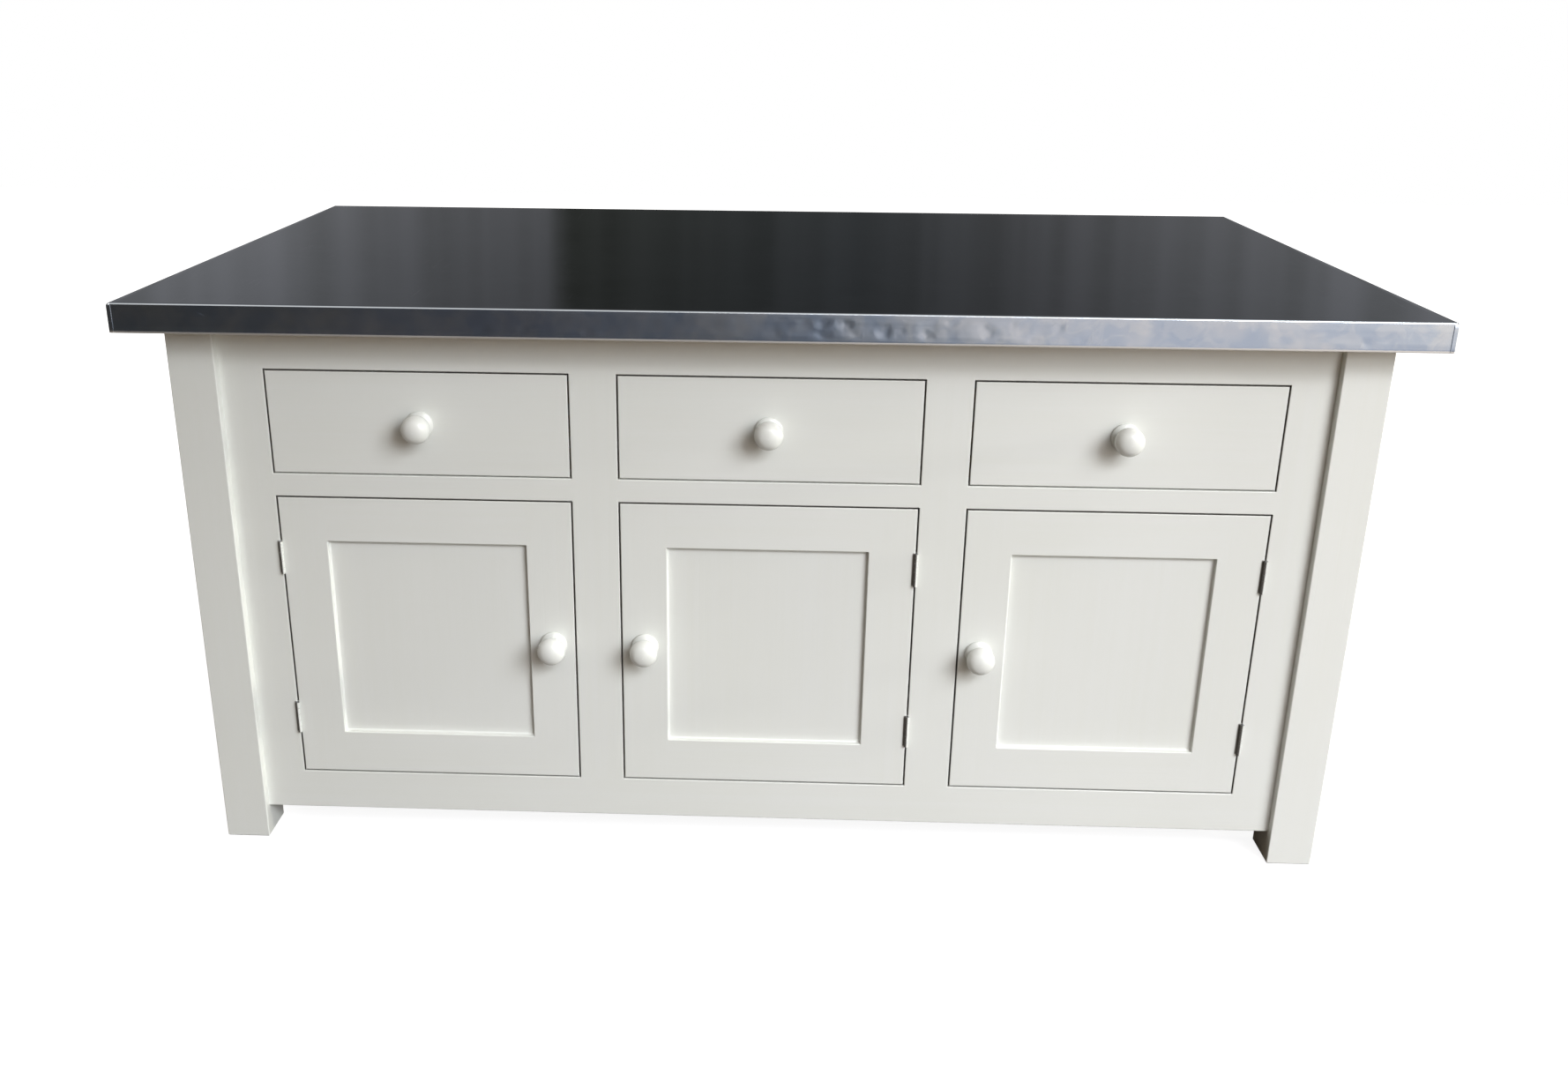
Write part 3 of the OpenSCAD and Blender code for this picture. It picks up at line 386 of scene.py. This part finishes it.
# Runners and kickers. Planed oak bars, waxed where the drawers slide, glued to the
# uprights in pairs for each bay.
def oak_timber(start, along):
    """Straight-grained oak with dark pores along the grain and a few pale flecks."""
    stretch = [0.03 if axis == along else 1 for axis in "XYZ"]
    place = start.node("TexCoord", output="Object")
    laid = place.node("Mapping", {}, {"Vector": place, "Scale": stretch})
    rings = laid.node("TexNoise", {}, {"Vector": laid, "Scale": 110, "Detail": 3,
                                       "Distortion": 0.8})
    pores = laid.node("TexNoise", {}, {"Vector": laid, "Scale": 900, "Detail": 2})
    flecks = place.node("TexVoronoi", {}, {"Vector": laid, "Scale": 260})
    bands = (rings * 6 % 1.0).rise(0.0, 1.0)
    timber = (bands * 0.4 + rings * 0.6).rise(0.3, 0.75).blend(
        seen(205, 176, 134), seen(168, 134, 92))
    timber = (pores.rise(0.60, 0.70) * 0.8).blend(timber, seen(104, 76, 48))
    timber = (flecks.rise(0.16, 0.08) * 0.35).blend(timber, seen(224, 200, 162))
    height = rings * 0.3 - pores.rise(0.60, 0.72)
    return start.node("BsdfPrincipled", {}, {
        "Base Color": timber, "Roughness": 0.50 + 0.2 * (pores - 0.5) - 0.06 * bands,
        "Normal": height.node("Bump", {}, {"Height": height, "Distance": 0.00012}),
    })


waxed_oak = bpy.data.materials.new("waxed_oak")
start = start_nodes(waxed_oak)
start.node("OutputMaterial", {}, {"Surface": oak_timber(start, "Y")})
dress(waxed_oak, "drawer_runners", "drawer_kickers")

# Worktop skin. Soft zinc sheet folded down over all four edges of the board, hemmed
# underneath round a small rolled lip, lapped and soldered at the corners and tapped flat
# with a mallet, which has left shallow dents along its edges.
sheet_low, sheet_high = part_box("zinc_top")
sheet_t, hem_w, fold_r, cell = 0.0009, 0.013, 0.0025, 0.012
lap_t, lap_w, lap_up, lap_proud = 0.0006, 0.006, 0.0008, 0.00012
bead_size, bead_in = (0.0021, 0.0014, 0.0016), (0.0026, 0.0009, 0.0022)
edge_x, edge_y = sheet_high.x, sheet_high.y - lap_t
top_z, sole_z = sheet_high.z, sheet_low.z
lip_z, lip_t = sole_z - 0.003, 0.0028


def select_only(*pieces):
    bpy.ops.object.select_all(action="DESELECT")
    for piece in pieces:
        piece.select_set(True)
    bpy.context.view_layer.objects.active = pieces[0]


def edit_on(*pieces):
    select_only(*pieces)
    bpy.ops.object.mode_set(mode="EDIT")


def join_smooth(pieces, degrees):
    """Joins pieces into the first one and smooths all but its sharp edges."""
    select_only(*pieces)
    if len(pieces) > 1:
        bpy.ops.object.join()
    bpy.ops.object.shade_smooth_by_angle(angle=math.radians(degrees))


def pick(piece, kind, test):
    """Selects the faces, edges or verts that pass the test, in edit mode, and no others."""
    bpy.ops.mesh.select_mode(type={"faces": "FACE", "edges": "EDGE", "verts": "VERT"}[kind])
    bpy.ops.mesh.select_all(action="DESELECT")
    shape = bmesh.from_edit_mesh(piece.data)
    for element in getattr(shape, kind):
        if test(element):
            element.select_set(True)
    shape.select_flush_mode()
    bmesh.update_edit_mesh(piece.data)


bpy.ops.mesh.primitive_grid_add(x_subdivisions=round(2 * edge_x / cell),
                                y_subdivisions=round(2 * edge_y / cell), size=2)
skin = bpy.context.object
skin.name = "zinc_skin"
edit_on(skin)
bpy.ops.mesh.select_all(action="SELECT")
bpy.ops.transform.resize(value=(edge_x, edge_y, 1))
bpy.ops.transform.translate(value=(0, 0, top_z))
pick(skin, "edges", lambda e: e.is_boundary)
for _ in range(3):
    bpy.ops.mesh.extrude_region_move(
        TRANSFORM_OT_translate={"value": (0, 0, (lip_z - top_z) / 3)})
for inset, rise in ((lip_t, 0), (0, sole_z - lip_z), (hem_w - lip_t, 0)):
    bpy.ops.mesh.extrude_region_move(TRANSFORM_OT_translate={"value": (0, 0, rise)})
    bpy.ops.transform.resize(value=(1 - inset / edge_x, 1 - inset / edge_y, 1),
                             center_override=(0, 0, sole_z))
pick(skin, "edges", lambda e: not e.is_boundary and e.calc_face_angle(0) > 1
     and all(v.co.z > top_z - 1e-4 for v in e.verts))
bpy.ops.mesh.bevel(offset=fold_r, segments=5, affect="EDGES")
pick(skin, "edges", lambda e: not e.is_boundary and e.calc_face_angle(0) > 1)
bpy.ops.mesh.bevel(offset=0.0012, segments=2, affect="EDGES")
pick(skin, "faces", lambda f: abs(f.normal.z) < 0.1 and f.calc_area() > 6e-5)
bpy.ops.mesh.subdivide(number_cuts=2, ngon=True)
bpy.ops.object.mode_set(mode="OBJECT")

apron = skin.vertex_groups.new(name="apron")
for corner in skin.data.vertices:
    x, y, z = corner.co
    at_edge = max(abs(x) - edge_x, abs(y) - edge_y) > -1e-4
    rise = min(1, max(0, min(z - sole_z - 0.0005, top_z - fold_r - 0.001 - z) / 0.012))
    if at_edge and rise > 0:
        mallet = 0.45 + 0.55 * math.exp(-((x - 0.15) / 0.32) ** 2)
        apron.add([corner.index], rise * rise * (3 - 2 * rise) * mallet, "REPLACE")

long_waves = bpy.data.textures.new("long_waves", "CLOUDS")
long_waves.noise_scale, long_waves.noise_depth = 0.07, 0
modifier = skin.modifiers.new("long_waves", "DISPLACE")
modifier.texture, modifier.texture_coords = long_waves, "LOCAL"
modifier.mid_level, modifier.strength, modifier.vertex_group = 1, 0.0007, "apron"
thick = skin.modifiers.new("sheet", "SOLIDIFY")
thick.thickness, thick.offset = sheet_t, -1
bpy.context.view_layer.objects.active = skin
for name in ("long_waves", "sheet"):
    bpy.ops.object.modifier_apply(modifier=name)
skin.vertex_groups.clear()

laps = []
for side_x in (-1, 1):
    for side_y in (-1, 1):
        bpy.ops.object.select_all(action="DESELECT")
        bpy.ops.mesh.primitive_cube_add(size=1)
        lap = bpy.context.object
        edit_on(lap)
        bpy.ops.transform.resize(value=(lap_w, 2 * lap_t, top_z - fold_r - lip_z - lap_up))
        pick(lap, "faces", lambda f: f.normal.y * side_y > 0.9)
        bpy.ops.mesh.inset(thickness=0.0002)
        bpy.ops.transform.translate(value=(0, side_y * lap_proud, 0))
        pick(lap, "faces", lambda f: abs(f.normal.y) > 0.9)
        bpy.ops.mesh.subdivide(number_cuts=5)
        bpy.ops.mesh.select_all(action="SELECT")
        bpy.ops.transform.translate(value=(
            side_x * (edge_x - lap_w / 2), side_y * (edge_y - lap_proud),
            (lip_z + lap_up + top_z - fold_r) / 2))
        bpy.ops.object.mode_set(mode="OBJECT")
        laps.append(lap)
        bpy.ops.object.select_all(action="DESELECT")
        bpy.ops.mesh.primitive_ico_sphere_add(subdivisions=3, radius=1)
        bead = bpy.context.object
        edit_on(bead)
        bpy.ops.transform.vertex_random(offset=0.12, uniform=1, normal=1, seed=7)
        bpy.ops.transform.resize(value=bead_size)
        bpy.ops.transform.translate(value=(
            side_x * (edge_x - bead_in[0]), side_y * (edge_y - bead_in[1]),
            top_z - bead_in[2]))
        bpy.ops.object.mode_set(mode="OBJECT")
        laps.append(bead)

zinc = bpy.data.materials.new("zinc")
start = start_nodes(zinc)
place = start.node("TexCoord", output="Object")
facing = start.node("TexCoord", output="Normal")
level = abs(facing.node("SeparateXYZ", {}, {0: facing}, "Z"))
side = level.rise(0.75, 0.35)
arris = level.rise(0.97, 0.85) * level.rise(0.2, 0.45)
clouds = place.node("TexNoise", {}, {"Vector": place, "Scale": 4.5, "Detail": 4,
                                     "Distortion": 0.7})
bloom = place.node("TexNoise", {}, {"Vector": place, "Scale": 38, "Detail": 4,
                                    "Roughness": 0.65})
drawn = place.node("Mapping", {}, {"Vector": place, "Scale": (0.03, 1, 1)})
mill = drawn.node("TexNoise", {}, {"Vector": drawn, "Scale": 900, "Detail": 2})
turned = place.node("Mapping", {}, {"Vector": place, "Rotation": (0, 0, 0.35),
                                    "Scale": (1, 0.02, 1)})
scratch = turned.node("TexNoise", {}, {"Vector": turned, "Scale": 420,
                                       "Detail": 1}).rise(0.73, 0.76)
patina = (clouds * 0.6 + bloom * 0.4).rise(0.30, 0.72)
spots = place.node("TexNoise", {}, {"Vector": place, "Scale": 9, "Detail": 2,
                                    "Distortion": 0.6}).rise(0.40, 0.60)
# The top's tone is much darker than the apron's: partly patina, partly painted shade standing
# in for the dark room that the top mirrors.
top_tone = patina.blend((0.150, 0.165, 0.183, 1), (0.178, 0.194, 0.216, 1))
freckles = place.node("TexNoise", {}, {"Vector": place, "Scale": 36, "Detail": 3,
                                       "Distortion": 0.8}).rise(0.42, 0.60)
side_tone = (spots * 0.55 + freckles * 0.30 + patina * 0.15).blend(
    (0.354, 0.400, 0.462, 1), (0.510, 0.514, 0.510, 1))
tone = side.blend(top_tone, side_tone)
tone = (arris * 0.8).blend(tone, (0.66, 0.69, 0.72, 1))
tone = (scratch * 0.3).blend(tone, (0.42, 0.44, 0.46, 1))
drop = place.node("SeparateXYZ", {}, {0: place}, "Z")
# The rolled lip below the board gets a warm pale grey, a painted reflection of the paint just
# below it, and is duller.
lip = drop.rise(sole_z + 0.0004, sole_z - 0.0004)
tone = lip.blend(tone, (0.74, 0.71, 0.67, 1))
along = place.node("SeparateXYZ", {}, {0: place}, "X")
apron = side * drop.rise(sole_z, sole_z + 0.010) * drop.rise(top_z - 0.004, top_z - 0.014)
stray = place.node("TexNoise", {}, {"Vector": place, "Scale": 45, "Detail": 1}, "Color")
strayed = place.node("Mix", {"data_type": "VECTOR"}, {0: 0.012, 4: place, 5: stray}, 1)
cells = {"Vector": strayed, "Scale": 34, "Randomness": 0.7}
marks = strayed.node("TexVoronoi", {}, cells)
which = strayed.node("TexVoronoi", {}, cells, "Color")
struck = which.node("SeparateXYZ", {}, {0: which}, "X")
busy = abs(along - 0.20).rise(0.26, 0.10) * 0.6
dents = apron * marks.rise(0.56, 0.0) * (struck + busy).rise(0.70, 0.85)
buckles = place.node("TexNoise", {}, {"Vector": place, "Scale": 34, "Detail": 1}) * apron
height = bloom * 0.5 + mill * 0.1 - scratch * 0.4
fine = height.node("Bump", {}, {"Height": height, "Distance": 0.00005})
beaten = buckles * (0.65 + 0.75 * busy) - dents * 0.8
start.node("OutputMaterial", {}, {"Surface": start.node("BsdfPrincipled", {}, {
    "Base Color": tone,
    "Metallic": 1.0,
    "Roughness": 0.06 + 0.05 * patina + 0.15 * side + 0.02 * mill + 0.34 * lip,
    "Specular Tint": grey(0.75),
    "Normal": beaten.node("Bump", {}, {"Height": beaten, "Distance": 0.0007,
                                       "Normal": fine}),
})})

solder = bpy.data.materials.new("solder")
start = start_nodes(solder)
place = start.node("TexCoord", output="Object")
crust = place.node("TexNoise", {}, {"Vector": place, "Scale": 1200, "Detail": 3})
start.node("OutputMaterial", {}, {"Surface": start.node("BsdfPrincipled", {}, {
    "Base Color": crust.rise(0.3, 0.7).blend(seen(222, 224, 226), seen(176, 178, 180)),
    "Metallic": 1.0,
    "Roughness": 0.22 + 0.2 * crust,
    "Normal": crust.node("Bump", {}, {"Height": crust, "Distance": 0.00004}),
})})
skin.data.materials.append(zinc)
for index, lap in enumerate(laps):
    lap.data.materials.append(solder if index % 2 else zinc)
join_smooth([skin, *laps], 32)
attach(skin, "carcass")
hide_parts("zinc_top")

# Worktop fixings. Oak blocks glued in the angle of rails and board, each with a slotted
# steel screw driven up into the board; only the screw's head stands out below the block.
block_x, block_y, head_in = 0.831, 0.416, 0.0025
block_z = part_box("worktop_fixings")[0].z + head_in
fixing_finish = bpy.data.materials.new("fixing_blocks")
start = start_nodes(fixing_finish)
place = start.node("TexCoord", output="Object")
head = place.node("SeparateXYZ", {}, {0: place}, "Z").rise(block_z + 5e-5, block_z - 5e-5)
start.node("OutputMaterial", {}, {"Surface": start.node("MixShader", {}, {
    0: head, 1: oak_timber(start, "X"), 2: steel(start)})})
dress(fixing_finish, "worktop_fixings")


def slotted_head(radius, height, rim, slot_w, slot_d):
    """The head of a screw, eased at the rim; it stands on the origin and faces up."""
    bpy.ops.object.select_all(action="DESELECT")
    bpy.ops.mesh.primitive_cylinder_add(vertices=36, radius=radius, depth=height)
    head = bpy.context.object
    edit_on(head)
    bpy.ops.mesh.select_all(action="SELECT")
    bpy.ops.transform.translate(value=(0, 0, height / 2))
    pick(head, "edges", lambda e: all(v.co.z > 0.99 * height for v in e.verts))
    bpy.ops.mesh.bevel(offset=rim, segments=4, affect="EDGES")
    bpy.ops.object.mode_set(mode="OBJECT")
    bpy.ops.object.select_all(action="DESELECT")
    bpy.ops.mesh.primitive_cube_add(size=1, location=(0, 0, height))
    cutter = bpy.context.object
    bpy.ops.transform.resize(value=(3 * radius, slot_w, 2 * slot_d))
    slot = head.modifiers.new("slot", "BOOLEAN")
    slot.operation, slot.object = "DIFFERENCE", cutter
    bpy.context.view_layer.objects.active = head
    bpy.ops.object.modifier_apply(modifier="slot")
    select_only(cutter)
    bpy.ops.object.delete()
    head.data.materials.clear()
    head.data.materials.append(bright_steel)
    return head


def drive(head, name, body, spots):
    """Drives a copy of the head in at every place, facing as told, as one piece."""
    copies = []
    for place, facing in spots:
        select_only(head)
        bpy.ops.object.duplicate()
        copy = bpy.context.object
        turned_in = Matrix.Rotation(turns.uniform(0, math.pi), 4, "Z")
        aimed = Vector(facing).to_track_quat("Z", "Y").to_matrix().to_4x4()
        copy.matrix_world = Matrix.Translation(place) @ aimed @ turned_in
        bpy.ops.object.transform_apply(location=True, rotation=True, scale=True)
        copies.append(copy)
    join_smooth(copies, 35)
    copies[0].name = name
    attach(copies[0], body)


turns = random.Random(4)
big_head = slotted_head(0.0046, 0.0037, 0.0011, 0.0011, 0.0010)
drive(big_head, "worktop_screws", "carcass",
      [((side * bay_w, end * block_y, block_z), (0, 0, -1))
       for side in (-1, 0, 1) for end in (-1, 1)]
      + [((side * block_x, 0, block_z), (0, 0, -1)) for side in (-1, 1)])

# Hinges. Small steel butt hinges let into door and frame and painted over with them;
# the paint is thin on the knuckles, where it rubs. The knuckles' sides away from the light
# get painted shade, and the face beside them a painted shadow.
painted_hinge = bpy.data.materials.new("painted_hinge")
start = start_nodes(painted_hinge)
place = start.node("TexCoord", output="Object")
rub = place.node("TexNoise", {}, {"Vector": place, "Scale": 420, "Detail": 3})
y = place.node("SeparateXYZ", {}, {0: place}, "Y")
bare = rub.rise(0.60, 0.66) * y.rise(face_y - 0.0040, face_y - 0.0058)
facing = start.node("TexCoord", output="Normal")
# The side of each knuckle that faces away from the light, in front of the face, gets painted
# shade.
shaded_side = facing.node("SeparateXYZ", {}, {0: facing}, "X").rise(0.35, -0.15)
shaded_side = shaded_side * y.rise(face_y + 0.0005, face_y - 0.0005)
# Dark brown painted shade for that side of the knuckles, mottled by the rub noise.
painted_shade = start.node("BsdfPrincipled", {}, {"Base Color": rub.blend(seen(84, 79, 74),
                                                                  seen(52, 48, 44)),
                                          "Roughness": 0.7 + 0.1 * rub})
shown = start.node("MixShader", {}, {0: shaded_side * 0.95, 1: brushed_paint(start, "Z", 0.30),
                                     2: painted_shade})
start.node("OutputMaterial", {}, {"Surface": start.node("MixShader", {}, {
    0: bare * 0.6, 1: shown, 2: steel(start)})})
dress(painted_hinge, "hinge_frame_leaves", "door_hinge_leaves_left",
      "door_hinge_leaves_centre", "door_hinge_leaves_right")
bays = {"left": -bay_w, "centre": 0.0, "right": bay_w}
hung = {"left": -1, "centre": 1, "right": 1}
hinge_off, leaf_face, leaf_in = 0.225, 0.0002, 0.00038
small_head = slotted_head(0.0019, 0.0005, 0.00006, 0.0006, 0.0003)


def leaf_screws(bay, side):
    """Three screws in each leaf of a bay's two hinges, on the leaves that face side."""
    x = bays[bay] + hung[bay] * hinge_off - side * (leaf_face + leaf_in)
    return [((x, y, z + up), (side, 0, 0)) for z in (door_z - hinge_up, door_z + hinge_up)
            for y, up in ((-0.441, 0.017), (-0.447, 0), (-0.441, -0.017))]


drive(small_head, "hinge_screws_frame", "carcass",
      [screw for bay in bays for screw in leaf_screws(bay, -hung[bay])])
for bay in bays:
    drive(small_head, f"hinge_screws_door_{bay}", f"door_{bay}",
          leaf_screws(bay, hung[bay]))

# Magnetic catches. Moulded white cases screwed behind the middle rails, with two steel
# poles at the front of each; they meet a small steel plate screwed on the door.
catch_plastic = bpy.data.materials.new("catch_plastic")
start = start_nodes(catch_plastic)
place = start.node("TexCoord", output="Object")
mould = place.node("TexNoise", {}, {"Vector": place, "Scale": 1500, "Detail": 2})
start.node("OutputMaterial", {}, {"Surface": start.node("BsdfPrincipled", {}, {
    "Base Color": mould.rise(0.3, 0.7).blend(seen(238, 237, 232), seen(230, 229, 223)),
    "Roughness": 0.42 + 0.15 * mould,
    "Normal": mould.node("Bump", {}, {"Height": mould, "Distance": 0.00003}),
})})
dress(catch_plastic, "door_catches")
dress(bright_steel, "door_catch_plate_left", "door_catch_plate_centre",
      "door_catch_plate_right")
case_head = slotted_head(0.0028, 0.0015, 0.0006, 0.0008, 0.0006)
case_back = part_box("door_catches")[1].y
catch_x = {bay: sum(corner.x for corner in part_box(f"door_catch_plate_{bay}")) / 2
           for bay in bays}
case_screw_off, case_screw_z, plate_screw_off, plate_in = 0.013, 0.5995, 0.011, 0.0004
pole_size, pole_y, pole_heights = (0.017, 0.0008, 0.0013), -0.42925, (0.5842, 0.5892)
drive(case_head, "catch_screws", "carcass",
      [((x + side * case_screw_off, case_back, case_screw_z), (0, 1, 0))
       for x in catch_x.values() for side in (-1, 1)])
poles = []
for x in catch_x.values():
    for z in pole_heights:
        bpy.ops.object.select_all(action="DESELECT")
        bpy.ops.mesh.primitive_cube_add(size=1)
        pole = bpy.context.object
        edit_on(pole)
        bpy.ops.mesh.select_all(action="SELECT")
        bpy.ops.transform.resize(value=pole_size)
        bpy.ops.transform.translate(value=(x, pole_y, z))
        bpy.ops.mesh.bevel(offset=0.0001, segments=2, affect="EDGES")
        bpy.ops.object.mode_set(mode="OBJECT")
        pole.data.materials.append(bright_steel)
        poles.append(pole)
join_smooth(poles, 35)
poles[0].name = "catch_poles"
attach(poles[0], "carcass")
for bay in bays:
    plate_low, plate_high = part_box(f"door_catch_plate_{bay}")
    plate_z = (plate_low.z + plate_high.z) / 2
    drive(small_head, f"catch_plate_screws_{bay}", f"door_{bay}",
          [((catch_x[bay] + side * plate_screw_off, plate_high.y - plate_in, plate_z),
            (0, 1, 0)) for side in (-1, 1)])

# Drawers. Painted fronts on lacquered ply boxes, dovetailed at all four corners, with
# the thin bottom in a groove all round.
ply_side = birch_ply("birch_ply_drawer_side", "X", "Y", 0.00133)
ply_back = birch_ply("birch_ply_drawer_back", "Y", "X", 0.00133)
ply_bottom = birch_ply("birch_ply_drawer_bottom", "Z", "X", 0.0012)
for bay in bays:
    dress(fitted_level, f"drawer_front_{bay}")
    dress(ply_side, f"drawer_sides_{bay}")
    dress(ply_back, f"drawer_back_{bay}")
    dress(ply_bottom, f"drawer_bottom_{bay}")

# Knobs. Turned beech, painted with the rest and glossier from several coats, each with a
# turned collar behind its ball, and held by a steel screw from behind the painted face.
painted_knob = bpy.data.materials.new("painted_knob")
start = start_nodes(painted_knob)
place = start.node("TexCoord", output="Object")
behind = place.node("SeparateXYZ", {}, {0: place}, "Y").rise(face_y + 4e-5, face_y + 6e-5)
start.node("OutputMaterial", {}, {"Surface": start.node("MixShader", {}, {
    0: behind, 1: brushed_paint(start, "X", 0.22), 2: steel(start)})})
foot_t, collar_l, collar_r, neck_r = 0.0049, 0.0044, 0.0206, 0.0122
knob_middles = {}
for bay in bays:
    for kind in ("drawer", "door"):
        dress(painted_knob, f"{kind}_knob_{bay}")
        knob_low, knob_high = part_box(f"{kind}_knob_{bay}")
        middle = knob_middles[kind, bay] = (knob_low + knob_high) / 2
        drive(big_head, f"{kind}_knob_screw_{bay}", f"{kind}_{bay}",
              [((middle.x, knob_high.y - head_in, middle.z), (0, 1, 0))])
select_only(big_head, small_head, case_head)
bpy.ops.object.delete()
bpy.ops.mesh.primitive_cone_add(vertices=64, radius1=collar_r, radius2=neck_r,
                                depth=collar_l, location=(0, 0, 0),
                                rotation=(math.pi / 2, 0, 0))
collar = bpy.context.object
bpy.ops.object.transform_apply(location=True, rotation=True, scale=True)
edit_on(collar)
bpy.ops.mesh.select_all(action="SELECT")
bpy.ops.transform.translate(value=(0, face_y - foot_t - collar_l / 2, 0))
pick(collar, "edges", lambda e: e.calc_face_angle(0) > 0.3)
bpy.ops.mesh.bevel(offset=0.0007, segments=3, affect="EDGES")
bpy.ops.object.mode_set(mode="OBJECT")
bpy.ops.object.shade_smooth_by_angle(angle=math.radians(40))
collar.data.materials.append(painted_knob)
for (kind, bay), middle in knob_middles.items():
    select_only(collar)
    bpy.ops.object.duplicate()
    fitted = bpy.context.object
    fitted.location = (middle.x, 0, middle.z)
    bpy.ops.object.transform_apply(location=True, rotation=True, scale=True)
    fitted.name = f"{kind}_knob_collar_{bay}"
    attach(fitted, f"{kind}_{bay}")
select_only(collar)
bpy.ops.object.delete()

# Doors. Stiles and rails jointed round a flat panel that sits back in its groove,
# painted along each member.
for bay in bays:
    dress(fitted_upright, f"door_stiles_{bay}")
    dress(fitted_level, f"door_rails_{bay}")
    dress(paint_upright, f"door_panel_{bay}")

# Fillets round the door panels. A thin strip of filler is wiped into the corner between
# each panel and its frame before painting, which leaves a small slope all round.
fillet, frame_w, panel_y = 0.0018, 0.071, -0.445
for bay in bays:
    door_low, door_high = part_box(f"door_stiles_{bay}")
    middle_x, middle_z = (door_low.x + door_high.x) / 2, (door_low.z + door_high.z) / 2
    half_w = (door_high.x - door_low.x) / 2 - frame_w
    half_h = (door_high.z - door_low.z) / 2 - frame_w
    bpy.ops.object.select_all(action="DESELECT")
    bpy.ops.mesh.primitive_plane_add(size=2, rotation=(math.pi / 2, 0, 0))
    ring = bpy.context.object
    bpy.ops.object.transform_apply(location=True, rotation=True, scale=True)
    edit_on(ring)
    bpy.ops.mesh.select_all(action="SELECT")
    bpy.ops.transform.resize(value=(half_w, 1, half_h))
    bpy.ops.mesh.inset(thickness=fillet)
    pick(ring, "faces", lambda f: f.calc_area() > half_w * half_h)
    bpy.ops.mesh.delete(type="ONLY_FACE")
    bpy.ops.mesh.select_all(action="SELECT")
    bpy.ops.mesh.extrude_region_move(TRANSFORM_OT_translate={"value": (0, -fillet, 0)})
    pick(ring, "verts", lambda v: v.co.y < -fillet / 2
         and abs(v.co.x) < half_w - fillet / 2 and abs(v.co.z) < half_h - fillet / 2)
    bpy.ops.transform.translate(value=(0, fillet, 0))
    bpy.ops.mesh.select_all(action="SELECT")
    bpy.ops.mesh.remove_doubles(threshold=1e-5)
    bpy.ops.mesh.normals_make_consistent(inside=False)
    bpy.ops.transform.translate(value=(middle_x, panel_y, middle_z))
    bpy.ops.object.mode_set(mode="OBJECT")
    bpy.ops.object.shade_flat()
    ring.name = f"door_panel_fillet_{bay}"
    ring.data.materials.append(paint_upright)
    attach(ring, f"door_{bay}")
